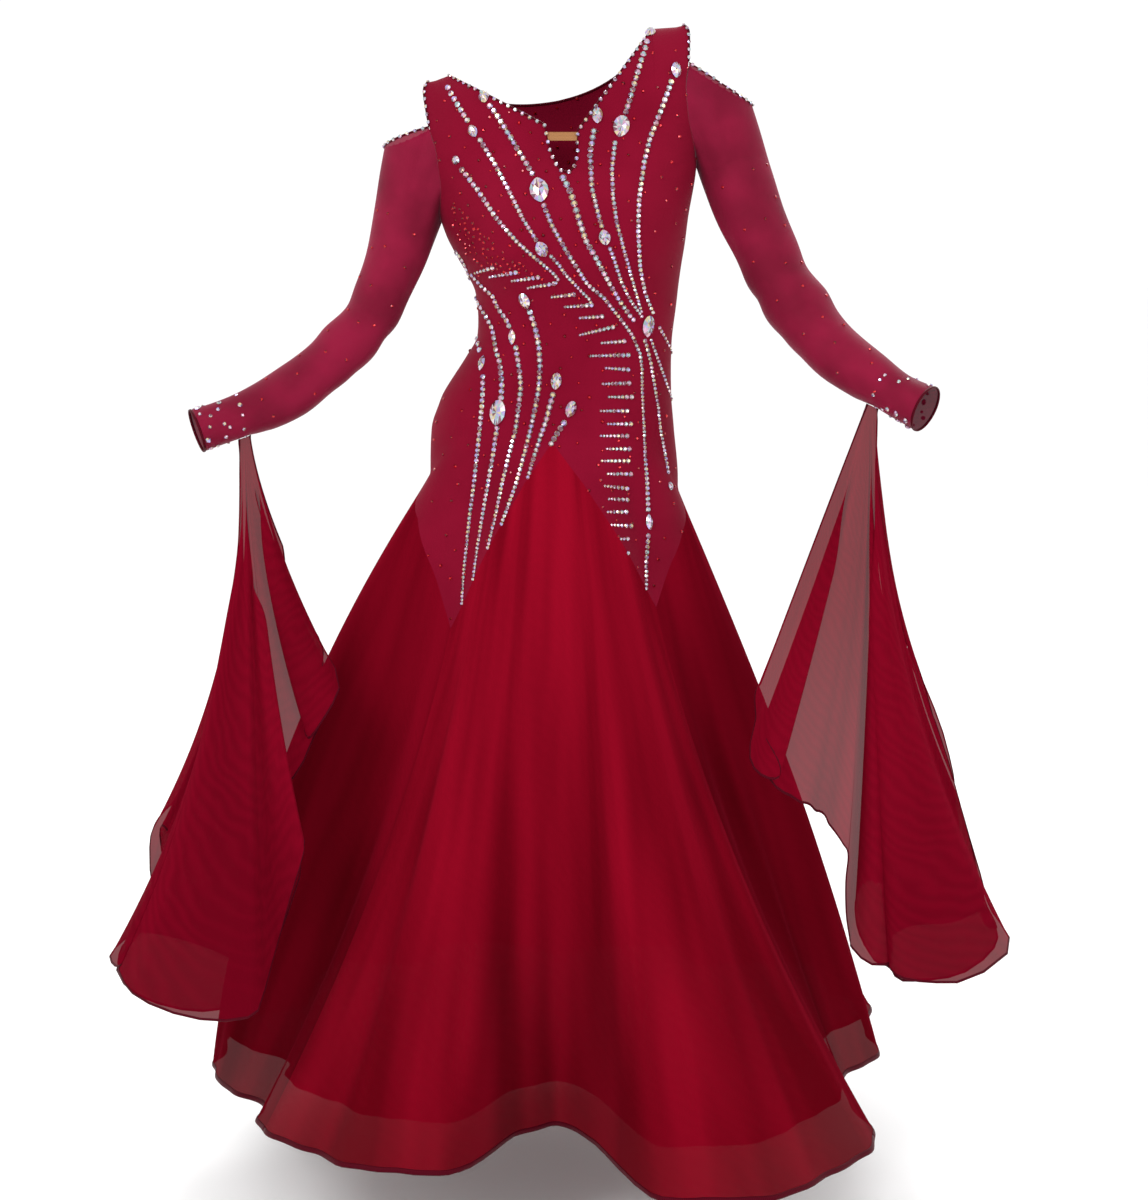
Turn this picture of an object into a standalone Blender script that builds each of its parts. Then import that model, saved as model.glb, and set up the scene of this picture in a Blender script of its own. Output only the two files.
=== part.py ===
"""Ballroom dance dress, held in its worn shape with both arms out, as hollow cloth walls.

Metres, +Z up. The wearer faces -Y, so their right arm is at -X. The origin is the middle of the
shoulder line, where the wearer carries the dress. Every panel is a wall that follows one smooth
surface, so panels that share a seam meet edge to edge with a small gap.
"""
import bisect
import math

import bmesh
import bpy
from mathutils import Vector
from mathutils.bvhtree import BVHTree

DRESS = "ballroom_dance_dress"

SEAM_GAP = 0.0003
BODICE_CLOTH = 0.0015
LIGHT_CLOTH = 0.0012

# Shoulders: above SHOULDER_START the body closes over the top as a quarter round.
SHOULDER_START = -0.10
SHOULDER_RISE = 0.10
SHOULDER_TOP = SHOULDER_START + SHOULDER_RISE * math.pi / 2
SHOULDER_SLOPE = 0.0065
SHOULDER_TILT = 0.2166
SHOULDER_FLAT = 0.85
TILT_FROM, TILT_FULL = -0.32, -0.08
SECTION_POWER = 2.3

# Level sections of the body: height, centre in x, half width, depth to the front, to the back.
BODY_COLUMNS = ("height", "centre", "half", "front", "back")
BODY_SECTIONS = (
    (-0.600, -0.002, 0.158, 0.104, 0.122),
    (-0.531, -0.002, 0.158, 0.104, 0.122),
    (-0.463, -0.004, 0.154, 0.101, 0.116),
    (-0.428, 0.000, 0.146, 0.098, 0.108),
    (-0.405, 0.006, 0.140, 0.096, 0.101),
    (-0.374, 0.016, 0.130, 0.093, 0.093),
    (-0.346, 0.024, 0.123, 0.092, 0.088),
    (-0.297, 0.027, 0.126, 0.101, 0.088),
    (-0.267, 0.023, 0.134, 0.112, 0.092),
    (-0.240, 0.019, 0.143, 0.118, 0.096),
    (-0.208, 0.015, 0.152, 0.116, 0.100),
    (-0.170, 0.014, 0.161, 0.106, 0.102),
    (-0.140, 0.012, 0.165, 0.096, 0.101),
    (-0.100, 0.008, 0.170, 0.083, 0.095),
    (0.000, 0.000, 0.175, 0.083, 0.095),
)
CUP_HEIGHT, CUP_SPREAD, CUP_FULLNESS = -0.225, 0.076, 0.011
CUP_WIDE, CUP_TALL = 0.046, 0.050

# Skirt: from SKIRT_START the surface leaves the hips and reaches the hem circle.
SKIRT_START = -0.46
HEM_HEIGHT = -1.30
HEM_RADIUS = 0.44
FOLD_GROWTH = 1.6
# Where each body turn (degrees from the front) comes out at the hem, the same on both sides.
SPREAD_COLUMNS = ("turn", "hem_turn")
SPREAD = ((0, 0), (9, 14), (33, 54), (90, 90), (147, 126), (180, 180))
# How the flare sets in: the share of the length that stays on the hips, and the early fullness.
FLARE_COLUMNS = ("turn", "start", "fullness")
FLARE = (
    (-180, 0.050, 1.30), (-147, 0.000, 0.25), (-90, 0.076, 1.85), (-33, 0.000, 0.25),
    (0, 0.015, 1.30), (33, 0.000, 0.25), (90, 0.100, 1.20), (147, 0.000, 0.25),
    (180, 0.050, 1.30),
)
# Hem plan: a row for each ridge and valley, degrees from the front and distance from the axis.
HEM_COLUMNS = ("turn", "radius")
HEM_FOLDS = (
    (-180, 0.400), (-171, 0.452), (-160, 0.478), (-148, 0.420), (-138, 0.488), (-128, 0.470),
    (-117, 0.402), (-107, 0.458), (-98, 0.445), (-90, 0.442), (-84, 0.458), (-76, 0.446),
    (-64.5, 0.410), (-58, 0.437), (-45, 0.438), (-30, 0.431), (-21, 0.412), (-16, 0.385),
    (-10, 0.275), (0, 0.240), (9, 0.300), (15, 0.470), (25, 0.505), (34, 0.514),
    (46, 0.497), (55, 0.475), (65, 0.410), (75, 0.382), (84, 0.409), (92, 0.431),
    (103, 0.436), (112, 0.473), (120, 0.450), (130, 0.535), (140, 0.470), (149, 0.410),
    (159, 0.472), (169, 0.450), (180, 0.400),
)

# Lower edge of the bodice, turn and height: four points up into the godets, four tails between.
EDGE_COLUMNS = ("turn", "height")
BODICE_EDGE = (
    (-180, -0.500), (-171, -0.548), (-147, -0.690), (-132, -0.630), (-118, -0.575),
    (-90, -0.524), (-62, -0.572), (-48, -0.630), (-33, -0.703), (-9, -0.520), (0, -0.4725),
    (9, -0.520), (33, -0.676), (48, -0.625), (62, -0.587), (90, -0.544), (118, -0.585),
    (132, -0.630), (147, -0.690), (171, -0.548), (180, -0.500),
)
# Panel lines from the front to the side seam; the finer ones next to 0 draw the neck notch.
FRONT_LINES = (0, 2.2, 3.7, 4.6, 9, 15, 21, 27, 33, 40, 48, 55, 62, 72, 81, 90)
BACK_LINES = (0, 9, 15, 21, 27, 33, 40, 48, 55, 62, 72, 81, 90)
WIDE_STEP = 4.0
# Steps for slopes and normals, and the trims that keep seams apart where the surface is steep.
TURN_STEP, HEIGHT_STEP = 0.2, 0.0005
SIDE_NUDGE, SHOULDER_TRIM = 0.01, 0.0006

# Armhole: share of the way from the underarm to the shoulder end, and the turn of its edge.
ARMHOLE_COLUMNS = ("share", "turn")
ARMHOLE = ((0, 90), (0.05, 80), (0.13, 71), (0.25, 64), (0.40, 62), (0.55, 66), (0.78, 68),
           (1, 62.5))
UNDERARM_RIGHT, UNDERARM_LEFT = -0.188, -0.165
BEND_TURN = 45
LOWER_ROWS = 8
STRAP_TURN_RIGHT, STRAP_TURN_LEFT = -48, 40
# Front neckline in front view, from each strap to the top corners of the notch.
NOTCH_RIGHT_TOP, NOTCH_LEFT_TOP, NOTCH_DEPTH = -0.0880, -0.0960, 0.052
NOTCH_TURN = 4.6
BACK_NECK_DIP, BACK_NECK_ROUND, BACK_NECK_RISE = 0.055, 0.7, 0.9
# Search for the height of a neckline point: first height, steps, and share taken in each.
SEARCH_HEIGHT, SEARCH_STEPS, SEARCH_SHARE = -0.07, 40, 0.6
BRIDGE_Z, BRIDGE_WIDTH, BRIDGE_CLEAR = -0.1018, 0.010, 0.10

# Arms: points down the middle of each sleeve and the sleeve's half width there.
ARM_COLUMNS = ("share", "x", "y", "z", "radius")
ARM_RIGHT = (
    (-0.172, 0.000, -0.117, 0.0412), (-0.180, -0.005, -0.148, 0.0390),
    (-0.189, -0.015, -0.196, 0.0374), (-0.201, -0.040, -0.254, 0.0353),
    (-0.223, -0.070, -0.309, 0.0336), (-0.257, -0.100, -0.356, 0.0318),
    (-0.309, -0.135, -0.399, 0.0318), (-0.359, -0.170, -0.425, 0.0275),
    (-0.396, -0.190, -0.438, 0.0252), (-0.424, -0.200, -0.447, 0.0258),
)
ARM_LEFT = (
    (0.202, 0.000, -0.070, 0.0425), (0.214, 0.000, -0.104, 0.0420),
    (0.224, 0.000, -0.135, 0.0416), (0.233, -0.010, -0.163, 0.0410),
    (0.248, -0.025, -0.207, 0.0398), (0.274, -0.050, -0.266, 0.0390),
    (0.298, -0.075, -0.309, 0.0381), (0.332, -0.110, -0.352, 0.0353),
    (0.377, -0.150, -0.385, 0.0301), (0.412, -0.180, -0.408, 0.0264),
    (0.439, -0.200, -0.421, 0.0280),
)
SLEEVE_BLEND = 0.20
SLEEVE_SEAM_ROW = 0.0014
SLEEVE_ROWS = 17
SLEEVE_SEAM_ANGLE = 95
SLEEVE_FREE_STEPS = 8
FREE_EDGE_START = 0.012
SEAM_TOP_SHARE = 0.55
ARM_STEPS, SEAM_SEARCH_STEPS = 200, 80
# Soft folds in each sleeve: place along it, angle round it, reach of both, and height.
SLEEVE_FOLDS = (
    (0.20, 150, 0.10, 40, 0.0030), (0.36, 200, 0.06, 55, -0.0025), (0.46, 10, 0.045, 75, -0.0035),
    (0.56, 0, 0.045, 75, 0.0030), (0.66, 190, 0.05, 60, -0.0028), (0.78, 160, 0.05, 60, 0.0022),
)

# Floats: a row for each fold line, from one free edge to the other. The line starts under the
# forearm at a share of the sleeve's length and ends at the hem point; spread bends it outwards.
FLOAT_COLUMNS = ("line", "start", "x", "y", "z", "spread")
FLOAT_RIGHT = (
    (0.932, -0.456, -0.150, -0.894, 2.2), (0.927, -0.500, -0.172, -0.955, 2.2),
    (0.921, -0.497, -0.177, -1.040, 2.2), (0.916, -0.543, -0.202, -1.105, 2.2),
    (0.910, -0.502, -0.285, -1.123, 2.0), (0.905, -0.416, -0.340, -1.130, 2.0),
    (0.900, -0.350, -0.350, -1.122, 1.8), (0.894, -0.338, -0.285, -1.076, 1.8),
    (0.889, -0.303, -0.275, -0.955, 1.8), (0.884, -0.322, -0.220, -0.884, 1.8),
    (0.878, -0.299, -0.190, -0.838, 1.8), (0.873, -0.268, -0.175, -0.760, 1.6),
    (0.867, -0.318, -0.140, -0.670, 1.4), (0.862, -0.338, -0.125, -0.600, 1.4),
)
FLOAT_LEFT = (
    (0.845, 0.249, -0.195, -0.755, 1.0), (0.850, 0.232, -0.260, -0.822, 1.1),
    (0.854, 0.258, -0.300, -0.858, 1.2), (0.859, 0.311, -0.275, -0.893, 1.4),
    (0.864, 0.342, -0.320, -0.930, 1.6), (0.868, 0.350, -0.310, -1.045, 1.8),
    (0.873, 0.373, -0.345, -1.063, 2.0), (0.878, 0.396, -0.322, -1.075, 2.0),
    (0.882, 0.412, -0.345, -1.083, 2.0), (0.887, 0.469, -0.350, -1.080, 2.0),
    (0.892, 0.551, -0.270, -1.060, 2.0), (0.896, 0.537, -0.190, -1.045, 2.0),
    (0.901, 0.524, -0.170, -0.997, 2.0), (0.906, 0.478, -0.150, -0.830, 2.0),
    (0.910, 0.432, -0.120, -0.711, 2.0), (0.915, 0.402, -0.115, -0.620, 2.0),
)
FLOAT_ROWS = 11
FLOAT_DEPTH_SPREAD = 1.3
STEPS_PER_FOLD = 2

UNDERSKIRT_HEM = -1.243
UNDERSKIRT_CLEAR_TOP, UNDERSKIRT_CLEAR = 0.0026, 0.0065
# Shares of the godets' height where the underskirt has its rows, from its hem up.
UNDERSKIRT_ROWS = (0.0, 0.35, 0.65, 0.90, 0.97)
GODET_ROWS = 10

# Largest stones: place in front view, length, width and the lean of the long side in degrees.
STONE_COLUMNS = ("x", "z", "length", "width", "lean")
STONES = (
    (-0.019, -0.166, 0.032, 0.023, 12), (0.114, -0.331, 0.027, 0.018, 0),
    (-0.071, -0.436, 0.032, 0.020, -6), (0.001, -0.397, 0.021, 0.013, -8),
    (0.019, -0.431, 0.021, 0.013, -20), (-0.037, -0.299, 0.021, 0.014, 14),
    (-0.016, -0.236, 0.020, 0.015, 30), (0.060, -0.222, 0.019, 0.014, 14),
    (0.080, -0.090, 0.027, 0.020, -15), (0.051, -0.077, 0.019, 0.013, 0),
    (0.147, -0.022, 0.020, 0.014, -12),
)
STONE_HEIGHT, STONE_LIFT = 0.0045, 0.0009
STONE_SIDES, STONE_TABLE = 8, 0.55

CRIMSON = (0.262, 0.007, 0.032)
ORGANZA = (0.200, 0.004, 0.018)
MESH_RED = (0.250, 0.011, 0.055)
TAN = (0.520, 0.230, 0.055)
CLEAR = (0.800, 0.740, 0.760)


class Curve:
    """A smooth line through keyed values that never swings past them."""

    def __init__(self, keys, values):
        self.keys, self.values = list(keys), list(values)
        steps = list(zip(self.keys, self.keys[1:], self.values, self.values[1:]))
        rise = [(b_value - a_value) / (b_key - a_key) for a_key, b_key, a_value, b_value in steps]
        inner = [2 * a * b / (a + b) if a * b > 0 else 0.0 for a, b in zip(rise, rise[1:])]
        self.slopes = [rise[0]] + inner + [rise[-1]]

    def __call__(self, key):
        if key <= self.keys[0]:
            return self.values[0]
        if key >= self.keys[-1]:
            return self.values[-1]
        low = bisect.bisect_right(self.keys, key) - 1
        width = self.keys[low + 1] - self.keys[low]
        t = (key - self.keys[low]) / width
        return ((1 + 2 * t) * (1 - t) ** 2 * self.values[low]
                + t * (1 - t) ** 2 * width * self.slopes[low]
                + t * t * (3 - 2 * t) * self.values[low + 1]
                + t * t * (t - 1) * width * self.slopes[low + 1])


def curves(names, rows):
    """One Curve for each named column after the first, which is the key."""
    keys = [row[0] for row in rows]
    return {name: Curve(keys, [row[place] for row in rows])
            for place, name in enumerate(names) if place}


def straight(keys, values, key):
    """Value on the straight lines between the keyed values."""
    low = min(max(bisect.bisect_right(keys, key) - 1, 0), len(keys) - 2)
    share = (key - keys[low]) / (keys[low + 1] - keys[low])
    return mix(values[low], values[low + 1], share)


def mix(a, b, share):
    return a + (b - a) * share


def soft_step(a, b, value):
    t = min(max((value - a) / (b - a), 0.0), 1.0)
    return t * t * (3 - 2 * t)


BODY = curves(BODY_COLUMNS, BODY_SECTIONS)
HEM = curves(HEM_COLUMNS, HEM_FOLDS)
FLARES = curves(FLARE_COLUMNS, FLARE)
SPREADS = curves(SPREAD_COLUMNS, SPREAD)
ARMHOLES = curves(ARMHOLE_COLUMNS, ARMHOLE)
EDGE = dict(zip(EDGE_COLUMNS, zip(*BODICE_EDGE)))


def wrapped(turn):
    return turn - 360 if turn > 180 else turn


def rounded(value):
    """Sine or cosine of a section's angle, squared up a little towards a rounded box."""
    return math.copysign(abs(value) ** (2 / SECTION_POWER), value)


def level_point(turn, level, depth_share=1.0):
    """Point of the body's section at a level, at a turn in degrees from the front."""
    angle = math.radians(turn)
    across = rounded(math.sin(angle))
    ahead = rounded(math.cos(angle))
    depth = BODY["front"](level) if ahead > 0 else BODY["back"](level)
    x = BODY["centre"](level) + BODY["half"](level) * across
    y = -depth * depth_share * ahead
    if ahead > 0:
        beside = (abs(x - BODY["centre"](level)) - CUP_SPREAD) / CUP_WIDE
        above = (level - CUP_HEIGHT) / CUP_TALL
        y -= CUP_FULLNESS * math.exp(-beside ** 2 - above ** 2)
    return x, y


def torso_point(turn, height):
    """Point of the bodice surface; heights above SHOULDER_START run over the shoulder's round."""
    if height <= SHOULDER_START:
        x, y = level_point(turn, height)
        level = height
    else:
        angle = min((height - SHOULDER_START) / SHOULDER_RISE, math.pi / 2)
        outward = abs(rounded(math.sin(math.radians(turn))))
        rise = SHOULDER_RISE + SHOULDER_SLOPE * 4 * max(0.0, SHOULDER_FLAT - outward)
        level = SHOULDER_START + rise * math.sin(angle)
        x, y = level_point(turn, min(level, 0.0), math.cos(angle))
    tilt = SHOULDER_TILT * x * soft_step(TILT_FROM, TILT_FULL, level)
    return Vector((x, y, level + tilt))


def skirt_point(turn, height):
    """Point of the skirt: the hip section carried out to the hem circle and its folds."""
    turn = wrapped(turn)
    hip_x, hip_y = level_point(turn, height)
    hem_turn = math.copysign(SPREADS["hem_turn"](abs(turn)), turn)
    angle = math.radians(hem_turn)
    way = (math.sin(angle), -math.cos(angle))
    share = (SKIRT_START - height) / (SKIRT_START - HEM_HEIGHT)
    start = FLARES["start"](turn)
    fullness = FLARES["fullness"](turn)
    grown = max(0.0, (share - start) / (1 - start))
    reach = fullness * grown + (1 - fullness) * grown ** 2
    fold = (HEM["radius"](hem_turn) - HEM_RADIUS) * share ** FOLD_GROWTH
    x = mix(hip_x, way[0] * HEM_RADIUS, reach) + way[0] * fold
    y = mix(hip_y, way[1] * HEM_RADIUS, reach) + way[1] * fold
    return Vector((x, y, height))


def body_point(turn, height):
    return torso_point(turn, height) if height >= SKIRT_START else skirt_point(turn, height)


def outward_normal(surface, column, row, column_step, row_step):
    """Unit normal of a surface from its points just beside this one."""
    along = surface(column + column_step, row) - surface(column - column_step, row)
    up = surface(column, row + row_step) - surface(column, row - row_step)
    return along.cross(up).normalized()


def fabric(name, colour, roughness, sheen=0.3):
    material = bpy.data.materials.new(name)
    material.use_nodes = True
    shader = material.node_tree.nodes["Principled BSDF"]
    shader.inputs["Base Color"].default_value = (*colour, 1)
    shader.inputs["Roughness"].default_value = roughness
    shader.inputs["Metallic"].default_value = 0.0
    shader.inputs["Sheen Weight"].default_value = sheen
    return material


def grid_mesh(column_count, row_count, outer, tube):
    """An open skin from a plain grid, its points moved onto the outer points."""
    skin = bmesh.new()
    tag = skin.verts.layers.int.new("place")
    bmesh.ops.create_grid(skin, x_segments=column_count - 1, y_segments=row_count - 1, size=1)
    for vert in skin.verts:
        column = round((vert.co.x + 1) / 2 * (column_count - 1))
        row = round((vert.co.y + 1) / 2 * (row_count - 1))
        vert.co = outer[column][row]
        vert[tag] = (column % (column_count - 1) if tube else column) * row_count + row
    if tube:
        bmesh.ops.remove_doubles(skin, verts=skin.verts, dist=1e-6)
    bmesh.ops.triangulate(skin, faces=skin.faces, quad_method="FIXED")
    return skin, tag


def cloth(name, point, normal, columns, rows, thickness, material, tube=False, seam_chords=()):
    """A closed wall: the outer skin follows point(column, row), the inner one lies inside it.

    seam_chords lists the columns whose top point lies on the straight line between their
    neighbours, so that a finer panel still meets the coarser edge above it.
    """
    outer = [[point(c, r) for r in rows] for c in columns]
    inner = [[outer[i][j] - normal(c, r) * thickness for j, r in enumerate(rows)]
             for i, c in enumerate(columns)]
    for skin_points in (outer, inner):
        for i in seam_chords:
            skin_points[i][-1] = (skin_points[i - 1][-1] + skin_points[i + 1][-1]) / 2
    if tube:
        outer[-1], inner[-1] = outer[0], inner[0]
    shell, tag = grid_mesh(len(columns), len(rows), outer, tube)
    copy = bmesh.ops.duplicate(shell, geom=shell.verts[:] + shell.edges[:] + shell.faces[:])
    inside = [item for item in copy["geom"] if isinstance(item, bmesh.types.BMVert)]
    for vert in inside:
        vert.co = inner[vert[tag] // len(rows)][vert[tag] % len(rows)]
    flipped = [item for item in copy["geom"] if isinstance(item, bmesh.types.BMFace)]
    bmesh.ops.reverse_faces(shell, faces=flipped)
    partner = {vert[tag]: vert for vert in inside}
    inner_side = set(inside)
    rim = [edge for edge in shell.edges if edge.is_boundary and edge.verts[0] not in inner_side]
    for edge in rim:
        loop = edge.link_loops[0]
        first, second = loop.vert, loop.link_loop_next.vert
        shell.faces.new((second, first, partner[first[tag]], partner[second[tag]]))
    bmesh.ops.triangulate(shell, faces=[f for f in shell.faces if len(f.verts) == 4])
    return finish(name, shell, material)


def finish(name, shell, material):
    mesh = bpy.data.meshes.new(name)
    shell.to_mesh(mesh)
    shell.free()
    mesh.materials.append(material)
    mesh.shade_smooth()
    mesh.set_sharp_from_angle(angle=math.radians(50))
    piece = bpy.data.objects.new(name, mesh)
    bpy.data.collections[DRESS].objects.link(piece)
    return piece


def lower_edge(turn):
    return straight(EDGE["turn"], EDGE["height"], wrapped(turn))


def seam_slope(turn, step=0.5):
    """How much longer than level the bodice's lower edge runs at a turn."""
    side = lower_edge(turn + step) - lower_edge(turn - step)
    run = (body_point(turn + step, -0.6) - body_point(turn - step, -0.6)).xy.length
    return math.hypot(1, side / run)


def side_trim(turn, height, away):
    """The turn moved off a seam by half the seam gap at this height; away is 1 or -1."""
    step = 0.02
    per_step = (body_point(turn + away * step, height) - body_point(turn, height)).length
    return turn + away * step * SEAM_GAP / 2 / per_step


def mirrored(lines):
    return [-line for line in reversed(lines[1:])] + list(lines)


def turned_back(lines):
    """Lines of the back panels, on turns from the left side seam round to the right one."""
    return [180 - line for line in reversed(lines)] + [180 + line for line in lines[1:]]


def underarm(turn):
    """Height of the line where the armholes begin, from one side to the other."""
    across = math.sin(math.radians(turn))
    return mix(UNDERARM_RIGHT, UNDERARM_LEFT, (across + 1) / 2)


def bent_turn(turn, share):
    """Turn of a panel line above the underarm, drawn in so that the last one is the armhole.

    Turns run from -90 to 90 on the front and from just over 90 to just under 270 on the back.
    """
    middle = 0 if abs(turn) <= 90 else 180
    base = turn - middle
    beyond = max(0.0, abs(base) - BEND_TURN)
    squeeze = (90 - ARMHOLES["turn"](share)) / (90 - BEND_TURN)
    return middle + base - math.copysign(beyond * squeeze, base)


def height_on_line(turn, line):
    """Height parameter where a panel line's top meets a front view line z = line(x)."""
    height = SEARCH_HEIGHT
    for _ in range(SEARCH_STEPS):
        at = torso_point(bent_turn(turn, 1), height)
        height += SEARCH_SHARE * (line(at.x) - at.z)
        height = min(height, SHOULDER_TOP - 0.002)
    return height


def front_top(turn):
    """Top of the front panel: straps, the two slanting neck edges, and the rounded notch."""
    if turn <= STRAP_TURN_RIGHT or turn >= STRAP_TURN_LEFT:
        return SHOULDER_TOP
    side = STRAP_TURN_LEFT if turn > 0 else STRAP_TURN_RIGHT
    strap = torso_point(bent_turn(side, 1), SHOULDER_TOP)
    corner_z = NOTCH_LEFT_TOP if turn > 0 else NOTCH_RIGHT_TOP
    corner_x = torso_point(math.copysign(NOTCH_TURN, turn), corner_z).x
    slope = (strap.z - corner_z) / (strap.x - corner_x)
    if abs(turn) >= NOTCH_TURN:
        return height_on_line(turn, lambda x: corner_z + (x - corner_x) * slope)
    dip = NOTCH_DEPTH * math.sqrt(1 - (turn / NOTCH_TURN) ** 2)
    rim = mix(NOTCH_RIGHT_TOP, NOTCH_LEFT_TOP, 0.5 + 0.5 * turn / NOTCH_TURN)
    return height_on_line(turn, lambda x: rim - dip)


def back_top(turn):
    """Top of the back panel: the same straps and a shallow scoop between them."""
    base = turn - 180
    reach = STRAP_TURN_LEFT if base < 0 else -STRAP_TURN_RIGHT
    if abs(base) >= reach:
        return SHOULDER_TOP
    strap = torso_point(bent_turn(180 + math.copysign(reach, base), 1), SHOULDER_TOP)
    inward = math.sin(math.pi / 2 * (1 - abs(base) / reach))
    dip = BACK_NECK_DIP * inward ** BACK_NECK_ROUND
    return height_on_line(turn, lambda x: strap.z * x / strap.x * BACK_NECK_RISE - dip)


def bodice_height(turn, row, top):
    """Height of a panel point: row runs 0 to 1 up to the underarm, then 1 to 2 to the top."""
    low = lower_edge(turn) + SEAM_GAP / 2 * seam_slope(turn)
    if row <= 1:
        return mix(low, underarm(turn), row)
    return mix(underarm(turn), top, row - 1)


def bodice_panel(name, lines, top_of, material):
    """Front or back of the bodice, from the side seams to the neck and shoulder edges."""
    tops = {line: top_of(line) for line in lines}
    inward = {lines[0]: 1, lines[-1]: -1}

    def place(turn, row):
        line = min(lines, key=lambda near: abs(near - turn))
        if line in inward:
            turn += inward[line] * SIDE_NUDGE
        top = tops[line] - (SHOULDER_TRIM if tops[line] == SHOULDER_TOP else 0.0)
        height = bodice_height(turn, row, top)
        if row > 1:
            turn = bent_turn(turn, row - 1)
        if line in inward:
            turn = side_trim(turn, height, inward[line])
        return turn, height

    def point(turn, row):
        return body_point(*place(turn, row))

    def normal(turn, row):
        return outward_normal(body_point, *place(turn, row), TURN_STEP, HEIGHT_STEP)

    rows = [row / LOWER_ROWS for row in range(LOWER_ROWS)] + [1 + row[0] for row in ARMHOLE]
    return cloth(name, point, normal, lines, rows, BODICE_CLOTH, material)


def with_middles(lines):
    """The panel lines and one more between those that stand wide apart."""
    fine = []
    for first, second in zip(lines, lines[1:]):
        fine.append(first)
        if second - first >= WIDE_STEP:
            fine.append((first + second) / 2)
    return fine + [lines[-1]]


def skirt_panel(name, lines, material):
    """One godet, between two bodice tails, from the bodice edge down to the hem."""
    columns = with_middles(lines)
    chords = [i for i, column in enumerate(columns) if column not in lines]
    inward = {columns[0]: 1, columns[-1]: -1}

    def place(turn, row):
        high = lower_edge(turn) - SEAM_GAP / 2 * seam_slope(turn)
        height = mix(HEM_HEIGHT, high, row)
        if turn in inward:
            turn = side_trim(turn, height, inward[turn])
        return turn, height

    def point(turn, row):
        return body_point(*place(turn, row))

    def normal(turn, row):
        return outward_normal(body_point, *place(turn, row), TURN_STEP, HEIGHT_STEP)

    rows = [row / GODET_ROWS for row in range(GODET_ROWS + 1)]
    return cloth(name, point, normal, columns, rows, LIGHT_CLOTH, material, seam_chords=chords)


def underskirt(material):
    """The shorter inner layer, just inside the godets."""
    panel_lines = mirrored(FRONT_LINES) + turned_back(BACK_LINES)[1:]
    lines = with_middles(panel_lines)
    chords = [i for i, line in enumerate(lines) if line not in panel_lines]
    hem, top = UNDERSKIRT_ROWS[0], UNDERSKIRT_ROWS[-1]

    def place(turn, row):
        return turn, UNDERSKIRT_HEM if row == hem else mix(HEM_HEIGHT, lower_edge(turn), row)

    def normal(turn, row):
        return outward_normal(body_point, *place(turn, row), TURN_STEP, HEIGHT_STEP)

    def point(turn, row):
        clear = UNDERSKIRT_CLEAR_TOP if row == top else UNDERSKIRT_CLEAR
        if row == top:
            last = 1 - 1 / GODET_ROWS
            low, high = body_point(*place(turn, last)), body_point(*place(turn, 1))
            on_wall = low.lerp(high, (row - last) * GODET_ROWS)
        else:
            on_wall = body_point(*place(turn, row))
        return on_wall - normal(turn, row) * clear

    return cloth("underskirt", point, normal, lines, UNDERSKIRT_ROWS, LIGHT_CLOTH, material,
                 tube=True, seam_chords=chords)


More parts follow.
